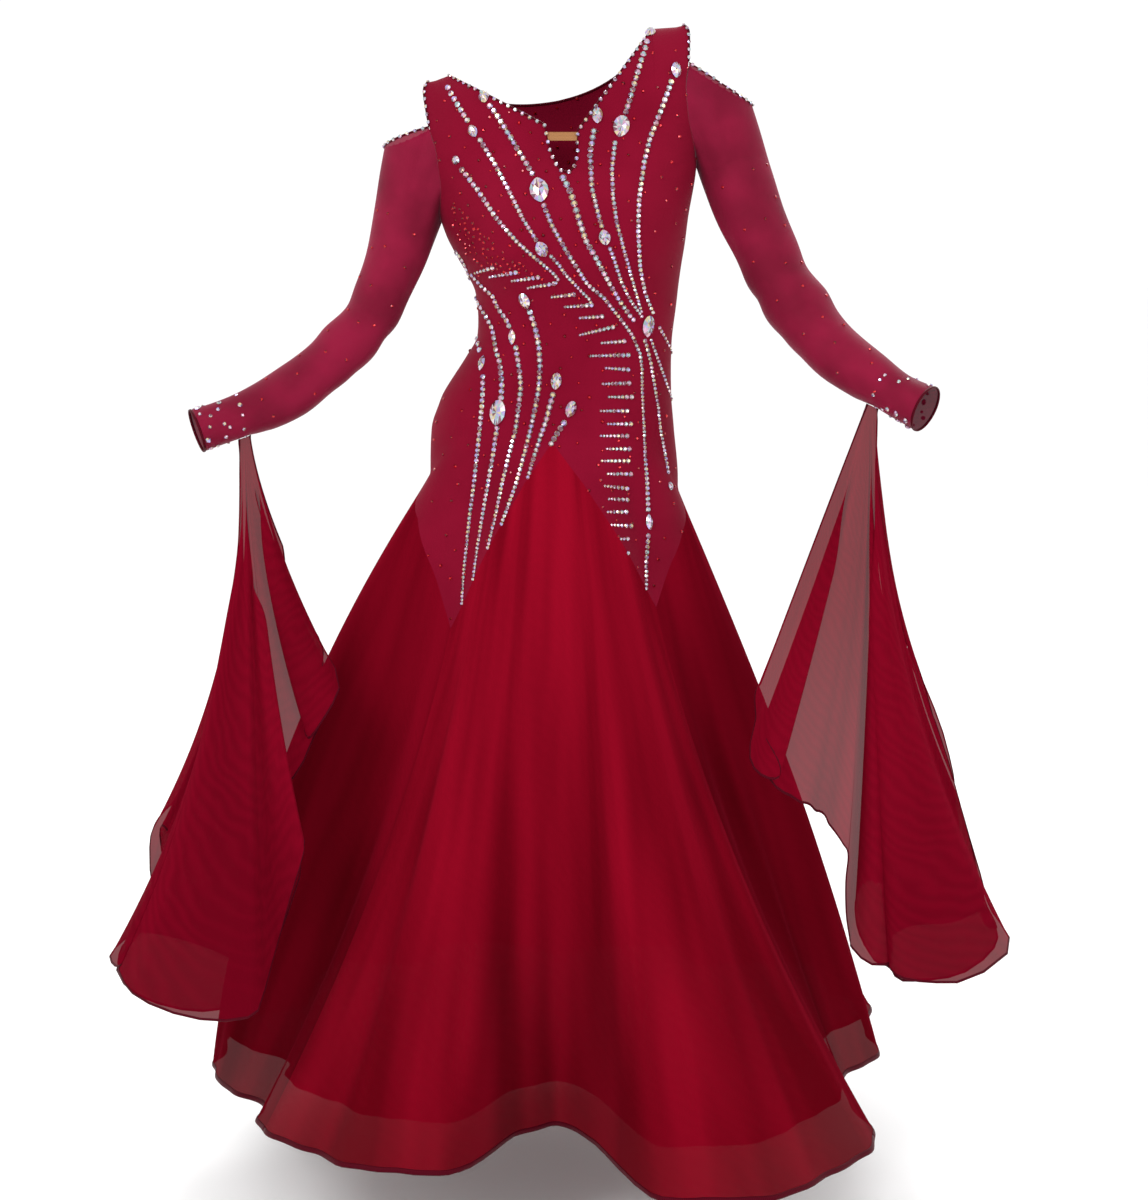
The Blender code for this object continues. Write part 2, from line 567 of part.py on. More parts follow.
class Sleeve:
    """A tube along one arm: its first ring is the armhole seam and the open shoulder edge."""

    def __init__(self, arm, side, underarm_height):
        self.side, self.underarm_height = side, underarm_height
        lengths = [0.0]
        for a, b in zip(arm, arm[1:]):
            lengths.append(lengths[-1] + (Vector(b[:3]) - Vector(a[:3])).length)
        shares = [(length / lengths[-1], *row) for length, row in zip(lengths, arm)]
        self.line = curves(ARM_COLUMNS, shares)
        seam_shares = [row[0] for row in ARMHOLE if row[0] <= SEAM_TOP_SHARE]
        self.seam = [("front", share) for share in reversed(seam_shares)]
        self.seam += [("back", share) for share in seam_shares[1:]]
        self.columns = list(range(len(self.seam) + SLEEVE_FREE_STEPS - 1))
        self.seam_starts = [self.level_with(self.armhole(*place)) for place in self.seam]

    def middle(self, share):
        return Vector([self.line[name](share) for name in ("x", "y", "z")])

    def frame(self, share):
        axis = (self.middle(min(share + 0.02, 1)) - self.middle(max(share - 0.02, 0))).normalized()
        front = Vector((0, -1, 0))
        front = (front - axis * front.dot(axis)).normalized()
        out = axis.cross(front) * -self.side
        return out, front

    def angle(self, column):
        """Angle round the arm, from its outer side over the front to the underside and back."""
        last = len(self.seam) - 1
        if column <= last:
            return mix(SLEEVE_SEAM_ANGLE, 360 - SLEEVE_SEAM_ANGLE, column / last)
        share = (column - last) / SLEEVE_FREE_STEPS
        return mix(360 - SLEEVE_SEAM_ANGLE, 360 + SLEEVE_SEAM_ANGLE, share)

    def folds(self, share, angle):
        lift = 0.0
        for place, centre, along, around, height in SLEEVE_FOLDS:
            turn = (angle - centre + 180) % 360 - 180
            lift += height * math.exp(-((share - place) / along) ** 2 - (turn / around) ** 2)
        return lift

    def tube(self, angle, share):
        out, front = self.frame(share)
        radius = self.line["radius"](share) + self.folds(share, angle)
        turn = math.radians(angle)
        return self.middle(share) + (out * math.cos(turn) + front * math.sin(turn)) * radius

    def armhole(self, which, share):
        turn = ARMHOLES["turn"](share) * self.side
        if which == "back":
            turn = 180 - turn
        return body_point(turn, mix(self.underarm_height, SHOULDER_TOP, share))

    def level_with(self, spot):
        """Share of the sleeve's length whose section is level with a point beside it."""
        shares = [step / ARM_STEPS for step in range(SEAM_SEARCH_STEPS)]
        return min(shares, key=lambda share: (self.middle(share) - spot).length)

    def start(self, column):
        """Share of the arm's length where a line along the sleeve begins."""
        last = len(self.seam) - 1
        if column <= last:
            low = min(int(column), last - 1)
            return mix(self.seam_starts[low], self.seam_starts[low + 1], column - low)
        share = (column - last) / SLEEVE_FREE_STEPS
        ends = mix(self.seam_starts[last], self.seam_starts[0], share)
        return mix(ends, FREE_EDGE_START, math.sin(math.pi * share))

    def seam_offset(self, index):
        """How far the armhole seam lies from the plain tube, at one of its points."""
        tube = self.tube(self.angle(index), self.seam_starts[index])
        return self.armhole(*self.seam[index]) - tube

    def start_offset(self, column):
        """The same on the whole first ring: blended over the open shoulder edge."""
        last = len(self.seam) - 1
        if column <= last:
            low = min(int(column), last - 1)
            return self.seam_offset(low).lerp(self.seam_offset(low + 1), column - low)
        share = (column - last) / SLEEVE_FREE_STEPS
        ends = self.seam_offset(last).lerp(self.seam_offset(0), share)
        return ends.lerp(Vector((0, 0, 0)), math.sin(math.pi * share))

    def point(self, column, row):
        """Point of the sleeve; row runs from its first ring, 0, to the cuff, 1."""
        blend = max(0.0, 1 - row / SLEEVE_BLEND) ** 2
        share = mix(self.start(column), 1, row)
        return self.tube(self.angle(column), share) + self.start_offset(column) * blend

    def normal(self, column, row):
        count = len(self.columns)
        step, reach = 0.05, 0.004
        low, high = max(row - reach, 0.0), min(row + reach, 1.0)
        around = self.point((column + step) % count, row) - self.point((column - step) % count, row)
        along = self.point(column, high) - self.point(column, low)
        return around.cross(along).normalized() * self.side

    def build(self, name, material):
        rows = [row / SLEEVE_ROWS for row in range(SLEEVE_ROWS + 1)]
        rows[0] = SLEEVE_SEAM_ROW
        wheel = self.columns + [0]
        if self.side < 0:
            wheel = wheel[::-1]
        return cloth(name, self.point, self.normal, wheel, rows, LIGHT_CLOTH, material, tube=True)

    def underside(self, share):
        """Point just under the sleeve, where a float hangs."""
        under = len(self.seam) // 2
        row = (share - self.start(under)) / (1 - self.start(under))
        return self.point(under, row) + self.normal(under, row) * SEAM_GAP * 2


def float_piece(name, folds, sleeve, material):
    """A cascade of light cloth hung from the underside of the forearm."""
    rows = [(line, *row) for line, row in enumerate(folds)]
    lines = curves(FLOAT_COLUMNS, rows)

    def point(line, row):
        share = 1 - row
        top = sleeve.underside(lines["start"](line))
        sideways = share ** lines["spread"](line)
        ahead = share ** FLOAT_DEPTH_SPREAD
        return Vector((mix(top.x, lines["x"](line), sideways),
                       mix(top.y, lines["y"](line), ahead),
                       mix(top.z, lines["z"](line), share)))

    def normal(line, row):
        half = 1 / STEPS_PER_FOLD
        low, high = max(line - half, 0), min(line + half, len(folds) - 1)
        across = point(high, row) - point(low, row)
        up = point(line, min(row + 0.01, 1)) - point(line, max(row - 0.01, 0))
        return across.cross(up).normalized()

    columns = [step / STEPS_PER_FOLD for step in range((len(folds) - 1) * STEPS_PER_FOLD + 1)]
    heights = [row / FLOAT_ROWS for row in range(FLOAT_ROWS + 1)]
    return cloth(name, point, normal, columns, heights, LIGHT_CLOTH, material)


def neck_bridge(material):
    """The narrow strap across the notch, between its two edges."""
    lines = sorted(line for line in FRONT_LINES if line < NOTCH_TURN)
    first_dip = NOTCH_DEPTH * math.sqrt(1 - (lines[-1] / NOTCH_TURN) ** 2)

    def place(column, row):
        z = BRIDGE_Z + BRIDGE_WIDTH * (row - 0.5)
        rim = NOTCH_LEFT_TOP if column > 0 else NOTCH_RIGHT_TOP
        edge = NOTCH_TURN - (rim - z) / first_dip * (NOTCH_TURN - lines[-1]) - BRIDGE_CLEAR
        turn = column * edge
        return turn, height_on_line(turn, lambda x: z)

    def point(column, row):
        return body_point(*place(column, row))

    def normal(column, row):
        return outward_normal(body_point, *place(column, row), TURN_STEP, HEIGHT_STEP)

    return cloth("neck_bridge", point, normal, [-1, -0.5, 0, 0.5, 1], [0, 0.5, 1],
                 BODICE_CLOTH, material)


def stone(name, row, wall, material):
    """A faceted oval stone, its back just clear of the front panel all over."""
    gem_row = dict(zip(STONE_COLUMNS, row))
    spot, facing = cast(wall, gem_row["x"], gem_row["z"])
    turn = math.radians(gem_row["lean"])
    across = Vector((0, 0, 1)).cross(facing).normalized() * -1
    up = facing.cross(across).normalized() * -1
    long_way = up * math.cos(turn) + across * math.sin(turn)
    short_way = across * math.cos(turn) - up * math.sin(turn)
    gem = bmesh.new()
    bmesh.ops.create_cone(gem, cap_ends=True, cap_tris=True, segments=STONE_SIDES, radius1=1,
                          radius2=STONE_TABLE, depth=1)
    for vert in gem.verts:
        flat = spot + short_way * vert.co.x * gem_row["width"] / 2
        flat += long_way * vert.co.y * gem_row["length"] / 2
        seat, _ = cast(wall, flat.x, flat.z)
        bulge = max(0.0, (seat - flat).dot(facing))
        lift = STONE_LIFT if vert.co.z < 0 else STONE_LIFT + STONE_HEIGHT
        vert.co = flat + facing * (bulge + lift)
    gem.normal_update()
    bmesh.ops.recalc_face_normals(gem, faces=gem.faces)
    return finish(name, gem, material)


def cast(wall, x, z):
    """Where a line straight from the front meets the front panel, and the way it faces."""
    spot, facing, _, _ = wall.ray_cast(Vector((x, -1, z)), Vector((0, 1, 0)))
    return spot, facing


def dress():
    for old in list(bpy.data.objects):
        bpy.data.objects.remove(old, do_unlink=True)
    group = bpy.data.collections.new(DRESS)
    bpy.context.scene.collection.children.link(group)

    front_lines = mirrored(FRONT_LINES)
    back_lines = turned_back(BACK_LINES)
    front = bodice_panel("bodice_front", front_lines, front_top, fabric("bodice_red", CRIMSON, 0.75))
    bodice_panel("bodice_back", back_lines, back_top, fabric("bodice_back_red", CRIMSON, 0.75))
    neck_bridge(fabric("bridge_tan", TAN, 0.6))

    all_lines = front_lines + back_lines[1:]
    tails = {"godet_front": (-33, 33), "godet_left": (33, 147), "godet_back": (147, 213),
             "godet_right": (213, 327)}
    ring = sorted(set(all_lines) | {line + 360 for line in all_lines if line < 0})
    for name, (low, high) in tails.items():
        lines = [line for line in ring if low <= line <= high]
        skirt_panel(name, lines, fabric(name + "_organza", ORGANZA, 0.5))
    underskirt(fabric("underskirt_organza", ORGANZA, 0.5))

    for side, label, arm, low, folds in ((-1, "right", ARM_RIGHT, UNDERARM_RIGHT, FLOAT_RIGHT),
                                         (1, "left", ARM_LEFT, UNDERARM_LEFT, FLOAT_LEFT)):
        sleeve = Sleeve(arm, side, low)
        sleeve.build("sleeve_" + label, fabric("sleeve_" + label + "_mesh", MESH_RED, 0.6))
        float_piece("float_" + label, folds, sleeve,
                    fabric("float_" + label + "_organza", ORGANZA, 0.5))

    skin = bmesh.new()
    skin.from_mesh(front.data)
    wall = BVHTree.FromBMesh(skin)
    for number, row in enumerate(STONES, 1):
        stone(f"stone_{number:02d}", row, wall, fabric(f"glass_{number:02d}", CLEAR, 0.1, 0.0))
    skin.free()


dress()
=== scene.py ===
"""Looks of the ballroom dance dress: its cloth, dark bound edges, crystals, camera and light.

Metres, +Z up, in the frame of the solids. The wearer faces -Y, so their right arm is at -X. The
cloth follows the same surfaces as the solids, with more points and softer creases. Places read
from the photo are pixels of its 1148 by 1200 frame, across from the left and down from the top.
"""

import bisect
import functools
import itertools
import math
import random

import bmesh
import bpy
from mathutils import Euler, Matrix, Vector
from mathutils.bvhtree import BVHTree


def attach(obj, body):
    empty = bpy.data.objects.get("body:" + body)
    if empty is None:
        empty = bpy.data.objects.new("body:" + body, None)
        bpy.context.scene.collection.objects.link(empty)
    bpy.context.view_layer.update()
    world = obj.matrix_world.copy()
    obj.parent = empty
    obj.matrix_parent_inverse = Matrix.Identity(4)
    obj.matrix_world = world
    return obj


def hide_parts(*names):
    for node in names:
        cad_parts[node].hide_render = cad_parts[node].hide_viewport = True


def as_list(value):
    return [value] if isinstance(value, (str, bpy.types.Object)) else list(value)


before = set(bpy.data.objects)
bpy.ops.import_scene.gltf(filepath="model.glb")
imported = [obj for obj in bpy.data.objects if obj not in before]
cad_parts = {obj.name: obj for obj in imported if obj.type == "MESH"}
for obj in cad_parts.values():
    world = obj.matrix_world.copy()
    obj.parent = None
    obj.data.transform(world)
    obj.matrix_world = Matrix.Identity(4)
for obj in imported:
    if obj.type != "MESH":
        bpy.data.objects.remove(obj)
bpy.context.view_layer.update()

# Each sheet with its trims, filled as they are built.
SHEETS = {}

SEAM_GAP = 0.0003

# Shoulders: above SHOULDER_START the body closes over the top as a quarter round.
SHOULDER_START = -0.10
SHOULDER_RISE = 0.10
SHOULDER_TOP = SHOULDER_START + SHOULDER_RISE * math.pi / 2
SHOULDER_SLOPE = 0.0065
SHOULDER_TILT = 0.2166
SHOULDER_FLAT = 0.85
TILT_FROM, TILT_FULL = -0.32, -0.08
SECTION_POWER = 2.3

# Level sections of the body: height, centre in x, half width, depth to the front, to the back.
BODY_COLUMNS = ("height", "centre", "half", "front", "back")
BODY_SECTIONS = (
    (-0.600, -0.002, 0.158, 0.104, 0.122),
    (-0.531, -0.002, 0.158, 0.104, 0.122),
    (-0.463, -0.004, 0.154, 0.101, 0.116),
    (-0.428, 0.000, 0.146, 0.098, 0.108),
    (-0.405, 0.006, 0.140, 0.096, 0.101),
    (-0.374, 0.016, 0.130, 0.093, 0.093),
    (-0.346, 0.024, 0.123, 0.092, 0.088),
    (-0.297, 0.027, 0.126, 0.101, 0.088),
    (-0.267, 0.023, 0.134, 0.112, 0.092),
    (-0.240, 0.019, 0.143, 0.118, 0.096),
    (-0.208, 0.015, 0.152, 0.116, 0.100),
    (-0.170, 0.014, 0.161, 0.106, 0.102),
    (-0.140, 0.012, 0.165, 0.096, 0.101),
    (-0.100, 0.008, 0.170, 0.083, 0.095),
    (0.000, 0.000, 0.175, 0.083, 0.095),
)
CUP_HEIGHT, CUP_SPREAD, CUP_FULLNESS = -0.225, 0.076, 0.011
CUP_WIDE, CUP_TALL = 0.046, 0.050

# Skirt: from SKIRT_START the surface leaves the hips and reaches the hem circle.
SKIRT_START = -0.46
HEM_HEIGHT = -1.30
HEM_RADIUS = 0.44
FOLD_GROWTH = 1.6
# Where each body turn (degrees from the front) comes out at the hem, the same on both sides.
SPREAD_COLUMNS = ("turn", "hem_turn")
SPREAD = ((0, 0), (9, 14), (33, 54), (90, 90), (147, 126), (180, 180))
# How the flare sets in: the share of the length that stays on the hips, and the early fullness.
FLARE_COLUMNS = ("turn", "start", "fullness")
FLARE = (
    (-180, 0.050, 1.30), (-147, 0.000, 0.25), (-90, 0.076, 1.85), (-33, 0.000, 0.25),
    (0, 0.015, 1.30), (33, 0.000, 0.25), (90, 0.100, 1.20), (147, 0.000, 0.25),
    (180, 0.050, 1.30),
)
# Hem plan: a row for each ridge and valley, degrees from the front and distance from the axis.
HEM_COLUMNS = ("turn", "radius")
HEM_FOLDS = (
    (-180, 0.400), (-171, 0.452), (-160, 0.478), (-148, 0.420), (-138, 0.488), (-128, 0.470),
    (-117, 0.402), (-107, 0.458), (-98, 0.445), (-90, 0.442), (-84, 0.458), (-76, 0.446),
    (-64.5, 0.410), (-58, 0.437), (-45, 0.438), (-30, 0.431), (-21, 0.412), (-16, 0.385),
    (-10, 0.275), (0, 0.240), (9, 0.300), (15, 0.470), (25, 0.505), (34, 0.514),
    (46, 0.497), (55, 0.475), (65, 0.410), (75, 0.382), (84, 0.409), (92, 0.431),
    (103, 0.436), (112, 0.473), (120, 0.450), (130, 0.535), (140, 0.470), (149, 0.410),
    (159, 0.472), (169, 0.450), (180, 0.400),
)

# Lower edge of the bodice, turn and height: four points up into the godets, four tails between.
BODICE_EDGE = (
    (-180, -0.500), (-171, -0.548), (-147, -0.690), (-132, -0.630), (-118, -0.575),
    (-90, -0.524), (-62, -0.572), (-48, -0.630), (-33, -0.703), (-9, -0.520), (0, -0.4725),
    (9, -0.520), (33, -0.676), (48, -0.625), (62, -0.587), (90, -0.544), (118, -0.585),
    (132, -0.630), (147, -0.690), (171, -0.548), (180, -0.500),
)

# Steps for normals, and how far the back panel starts from the side seam.
TURN_STEP, HEIGHT_STEP = 0.2, 0.0005
SIDE_NUDGE = 0.01

# Armhole: share of the way from the underarm to the shoulder end, and the turn of its edge.
ARMHOLE_COLUMNS = ("share", "turn")
ARMHOLE = ((0, 90), (0.05, 80), (0.13, 71), (0.25, 64), (0.40, 62), (0.55, 66), (0.78, 68),
           (1, 62.5))
UNDERARM_RIGHT, UNDERARM_LEFT = -0.188, -0.165
BEND_TURN = 45
STRAP_TURN_RIGHT, STRAP_TURN_LEFT = -48, 40
# Front neckline in front view, from each strap to the top corners of the notch.
NOTCH_RIGHT_TOP, NOTCH_LEFT_TOP, NOTCH_DEPTH = -0.0880, -0.0960, 0.052
NOTCH_TURN = 4.6
BACK_NECK_DIP, BACK_NECK_ROUND, BACK_NECK_RISE = 0.055, 0.7, 0.9

# Search for the height of the neckline: its start, its steps, how far each goes, and its limit.
SEARCH_HEIGHT, SEARCH_STEPS, SEARCH_SHARE, SEARCH_MARGIN = -0.07, 40, 0.6, 0.002

# Arms: points down the middle of each sleeve and the sleeve's half width there.
ARM_COLUMNS = ("share", "x", "y", "z", "radius")
ARM_RIGHT = (
    (-0.172, 0.000, -0.117, 0.0412), (-0.180, -0.005, -0.148, 0.0390),
    (-0.189, -0.015, -0.196, 0.0374), (-0.201, -0.040, -0.254, 0.0353),
    (-0.223, -0.070, -0.309, 0.0336), (-0.257, -0.100, -0.356, 0.0318),
    (-0.309, -0.135, -0.399, 0.0318), (-0.359, -0.170, -0.425, 0.0275),
    (-0.396, -0.190, -0.438, 0.0252), (-0.424, -0.200, -0.447, 0.0258),
)
ARM_LEFT = (
    (0.202, 0.000, -0.070, 0.0425), (0.214, 0.000, -0.104, 0.0420),
    (0.224, 0.000, -0.135, 0.0416), (0.233, -0.010, -0.163, 0.0410),
    (0.248, -0.025, -0.207, 0.0398), (0.274, -0.050, -0.266, 0.0390),
    (0.298, -0.075, -0.309, 0.0381), (0.332, -0.110, -0.352, 0.0353),
    (0.377, -0.150, -0.385, 0.0301), (0.412, -0.180, -0.408, 0.0264),
    (0.439, -0.200, -0.421, 0.0280),
)
SLEEVE_BLEND = 0.20
SLEEVE_SEAM_ROW = 0.0014
SLEEVE_SEAM_ANGLE = 95
SLEEVE_FREE_STEPS, SEAM_STEPS = 48, 6
SEAM_TOP_SHARE = 0.55
FREE_EDGE_START = 0.012
AXIS_STEP = 0.02
# Search for the section level with a point: start, first step, steps each way, rounds, and how
# much finer each round is.
LEVEL_START, LEVEL_STEP, LEVEL_REACH, LEVEL_ROUNDS, LEVEL_FINER = 0.2, 0.005, 40, 3, 20
NORMAL_STEP, NORMAL_REACH = 0.3, 0.004
# Folds and creases in each sleeve: place along it, angle round it, reach along, reach round in
# degrees, lean in degrees for each full length, and height. The first six are in the solids too.
SLEEVE_FOLDS = (
    (0.20, 150, 0.10, 40, 0, 0.0030), (0.36, 200, 0.06, 55, 0, -0.0025),
    (0.46, 10, 0.045, 75, 0, -0.0035), (0.56, 0, 0.045, 75, 0, 0.0030),
    (0.66, 190, 0.05, 60, 0, -0.0028), (0.78, 160, 0.05, 60, 0, 0.0022),
    (0.12, 200, 0.10, 12, 60, 0.0026), (0.20, 230, 0.12, 13, 40, -0.0029),
    (0.26, 172, 0.14, 12, -30, 0.0032), (0.34, 215, 0.10, 12, 80, -0.0026),
    (0.44, 250, 0.030, 60, 900, 0.0035), (0.49, 225, 0.024, 60, 900, -0.0032),
    (0.54, 255, 0.026, 60, 700, 0.0035), (0.60, 230, 0.026, 55, 700, -0.0029),
    (0.68, 262, 0.030, 50, -600, 0.0029), (0.76, 240, 0.026, 50, -600, -0.0026),
    (0.83, 250, 0.022, 60, 500, 0.0029), (0.89, 232, 0.018, 60, 400, -0.0026),
)

# Floats: a row for each fold line, from one free edge to the other. The line starts under the
# forearm at a share of the sleeve's length and ends at the hem point; spread bends it outwards.
FLOAT_COLUMNS = ("line", "start", "x", "y", "z", "spread")
FLOAT_RIGHT = (
    (0.932, -0.456, -0.150, -0.894, 2.2), (0.927, -0.500, -0.172, -0.955, 2.2),
    (0.921, -0.497, -0.177, -1.040, 2.2), (0.916, -0.543, -0.202, -1.105, 2.2),
    (0.910, -0.502, -0.285, -1.123, 2.0), (0.905, -0.416, -0.340, -1.130, 2.0),
    (0.900, -0.350, -0.350, -1.122, 1.8), (0.894, -0.338, -0.285, -1.076, 1.8),
    (0.889, -0.303, -0.275, -0.955, 1.8), (0.884, -0.322, -0.220, -0.884, 1.8),
    (0.878, -0.299, -0.190, -0.838, 1.8), (0.873, -0.268, -0.175, -0.760, 1.6),
    (0.867, -0.318, -0.140, -0.670, 1.4), (0.862, -0.338, -0.125, -0.600, 1.4),
)
FLOAT_LEFT = (
    (0.845, 0.249, -0.195, -0.755, 1.0), (0.850, 0.232, -0.260, -0.822, 1.1),
    (0.854, 0.258, -0.300, -0.858, 1.2), (0.859, 0.311, -0.275, -0.893, 1.4),
    (0.864, 0.342, -0.320, -0.930, 1.6), (0.868, 0.350, -0.310, -1.045, 1.8),
    (0.873, 0.373, -0.345, -1.063, 2.0), (0.878, 0.396, -0.322, -1.075, 2.0),
    (0.882, 0.412, -0.345, -1.083, 2.0), (0.887, 0.469, -0.350, -1.080, 2.0),
    (0.892, 0.551, -0.270, -1.060, 2.0), (0.896, 0.537, -0.190, -1.045, 2.0),
    (0.901, 0.524, -0.170, -0.997, 2.0), (0.906, 0.478, -0.150, -0.830, 2.0),
    (0.910, 0.432, -0.120, -0.711, 2.0), (0.915, 0.402, -0.115, -0.620, 2.0),
)
FLOAT_DEPTH_SPREAD = 1.3

# Largest stones: place in front view, length, width and the lean of the long side in degrees.
STONES = (
    (-0.019, -0.166, 0.032, 0.023, 12), (0.114, -0.331, 0.027, 0.018, 0),
    (-0.071, -0.436, 0.032, 0.020, -6), (0.001, -0.397, 0.021, 0.013, -8),
    (0.019, -0.431, 0.021, 0.013, -20), (-0.037, -0.299, 0.021, 0.014, 14),
    (-0.016, -0.236, 0.020, 0.015, 30), (0.060, -0.222, 0.019, 0.014, 14),
    (0.080, -0.090, 0.027, 0.020, -15), (0.051, -0.077, 0.019, 0.013, 0),
    (0.147, -0.022, 0.020, 0.014, -12),
)


class Curve:
    """A smooth line through keyed values that never swings past them."""

    def __init__(self, keys, values):
        self.keys, self.values = list(keys), list(values)
        steps = list(zip(self.keys, self.keys[1:], self.values, self.values[1:]))
        rise = [(b_value - a_value) / (b_key - a_key) for a_key, b_key, a_value, b_value in steps]
        inner = [2 * a * b / (a + b) if a * b > 0 else 0.0 for a, b in zip(rise, rise[1:])]
        self.slopes = [rise[0]] + inner + [rise[-1]]

    def __call__(self, key):
        if key <= self.keys[0]:
            return self.values[0]
        if key >= self.keys[-1]:
            return self.values[-1]
        low = bisect.bisect_right(self.keys, key) - 1
        width = self.keys[low + 1] - self.keys[low]
        t = (key - self.keys[low]) / width
        return ((1 + 2 * t) * (1 - t) ** 2 * self.values[low]
                + t * (1 - t) ** 2 * width * self.slopes[low]
                + t * t * (3 - 2 * t) * self.values[low + 1]
                + t * t * (t - 1) * width * self.slopes[low + 1])


def curves(names, rows):
    """One Curve for each named column after the first, which is the key."""
    keys = [row[0] for row in rows]
    return {name: Curve(keys, [row[place] for row in rows])
            for place, name in enumerate(names) if place}


def straight(rows, key):
    """Value on the straight lines between the rows."""
    keys = [row[0] for row in rows]
    low = min(max(bisect.bisect_right(keys, key) - 1, 0), len(keys) - 2)
    share = (key - keys[low]) / (keys[low + 1] - keys[low])
    return rows[low][1] + (rows[low + 1][1] - rows[low][1]) * share


def lengths_along(spots):
    """Distance of each spot from the first one, along the line through them."""
    spans = ((after - before).length for before, after in zip(spots, spots[1:]))
    return list(itertools.accumulate(spans, initial=0.0))


def mix(a, b, share):
    return a + (b - a) * share


def soft_step(a, b, value):
    t = min(max((value - a) / (b - a), 0.0), 1.0)
    return t * t * (3 - 2 * t)


BODY = curves(BODY_COLUMNS, BODY_SECTIONS)
HEM = curves(HEM_COLUMNS, HEM_FOLDS)
FLARES = curves(FLARE_COLUMNS, FLARE)
SPREADS = curves(SPREAD_COLUMNS, SPREAD)
ARMHOLES = curves(ARMHOLE_COLUMNS, ARMHOLE)


def wrapped(turn):
    return turn - 360 if turn > 180 else turn


def rounded(value):
    """Sine or cosine of a section's angle, squared up a little towards a rounded box."""
    return math.copysign(abs(value) ** (2 / SECTION_POWER), value)


def level_point(turn, level, depth_share=1.0):
    """Point of the body's section at a level, at a turn in degrees from the front."""
    angle = math.radians(turn)
    across = rounded(math.sin(angle))
    ahead = rounded(math.cos(angle))
    depth = BODY["front"](level) if ahead > 0 else BODY["back"](level)
    x = BODY["centre"](level) + BODY["half"](level) * across
    y = -depth * depth_share * ahead
    if ahead > 0:
        beside = (abs(x - BODY["centre"](level)) - CUP_SPREAD) / CUP_WIDE
        above = (level - CUP_HEIGHT) / CUP_TALL
        y -= CUP_FULLNESS * math.exp(-beside ** 2 - above ** 2)
    return x, y


def torso_point(turn, height):
    """Point of the bodice surface; heights above SHOULDER_START run over the shoulder's round."""
    if height <= SHOULDER_START:
        x, y = level_point(turn, height)
        level = height
    else:
        angle = min((height - SHOULDER_START) / SHOULDER_RISE, math.pi / 2)
        outward = abs(rounded(math.sin(math.radians(turn))))
        rise = SHOULDER_RISE + SHOULDER_SLOPE * 4 * max(0.0, SHOULDER_FLAT - outward)
        level = SHOULDER_START + rise * math.sin(angle)
        x, y = level_point(turn, min(level, 0.0), math.cos(angle))
    tilt = SHOULDER_TILT * x * soft_step(TILT_FROM, TILT_FULL, level)
    return Vector((x, y, level + tilt))


def skirt_point(turn, height):
    """Point of the skirt: the hip section carried out to the hem circle and its folds."""
    turn = wrapped(turn)
    hip_x, hip_y = level_point(turn, height)
    hem_turn = math.copysign(SPREADS["hem_turn"](abs(turn)), turn)
    angle = math.radians(hem_turn)
    way = (math.sin(angle), -math.cos(angle))
    share = (SKIRT_START - height) / (SKIRT_START - HEM_HEIGHT)
    start = FLARES["start"](turn)
    fullness = FLARES["fullness"](turn)
    grown = max(0.0, (share - start) / (1 - start))
    reach = fullness * grown + (1 - fullness) * grown ** 2
    fold = (HEM["radius"](hem_turn) - HEM_RADIUS) * share ** FOLD_GROWTH
    x = mix(hip_x, way[0] * HEM_RADIUS, reach) + way[0] * fold
    y = mix(hip_y, way[1] * HEM_RADIUS, reach) + way[1] * fold
    return Vector((x, y, height))


def body_point(turn, height):
    return torso_point(turn, height) if height >= SKIRT_START else skirt_point(turn, height)


def outward_normal(surface, column, row, column_step, row_step):
    """Unit normal of a surface from its points just beside this one."""
    along = surface(column + column_step, row) - surface(column - column_step, row)
    up = surface(column, row + row_step) - surface(column, row - row_step)
    return along.cross(up).normalized()


def lower_edge(turn):
    return straight(BODICE_EDGE, wrapped(turn))


def underarm(turn):
    """Height of the line where the armholes begin, from one side to the other."""
    across = math.sin(math.radians(turn))
    return mix(UNDERARM_RIGHT, UNDERARM_LEFT, (across + 1) / 2)


def bent_turn(turn, share):
    """Turn of a panel line above the underarm, drawn in so that the last one is the armhole.

    Turns run from -90 to 90 on the front and from just over 90 to just under 270 on the back.
    """
    middle = 0 if abs(turn) <= 90 else 180
    base = turn - middle
    beyond = max(0.0, abs(base) - BEND_TURN)
    squeeze = (90 - ARMHOLES["turn"](share)) / (90 - BEND_TURN)
    return middle + base - math.copysign(beyond * squeeze, base)


def height_on_line(turn, line):
    """Height parameter where a panel line's top meets a front view line z = line(x)."""
    height = SEARCH_HEIGHT
    for _ in range(SEARCH_STEPS):
        at = torso_point(bent_turn(turn, 1), height)
        height += SEARCH_SHARE * (line(at.x) - at.z)
        height = min(height, SHOULDER_TOP - SEARCH_MARGIN)
    return height


def front_top(turn):
    """Top of the front panel: straps, the two slanting neck edges, and the rounded notch."""
    if turn <= STRAP_TURN_RIGHT or turn >= STRAP_TURN_LEFT:
        return SHOULDER_TOP
    side = STRAP_TURN_LEFT if turn > 0 else STRAP_TURN_RIGHT
    strap = torso_point(bent_turn(side, 1), SHOULDER_TOP)
    corner_z = NOTCH_LEFT_TOP if turn > 0 else NOTCH_RIGHT_TOP
    corner_x = torso_point(math.copysign(NOTCH_TURN, turn), corner_z).x
    slope = (strap.z - corner_z) / (strap.x - corner_x)
    if abs(turn) >= NOTCH_TURN:
        return height_on_line(turn, lambda x: corner_z + (x - corner_x) * slope)
    dip = NOTCH_DEPTH * math.sqrt(1 - (turn / NOTCH_TURN) ** 2)
    rim = mix(NOTCH_RIGHT_TOP, NOTCH_LEFT_TOP, 0.5 + 0.5 * turn / NOTCH_TURN)
    return height_on_line(turn, lambda x: rim - dip)


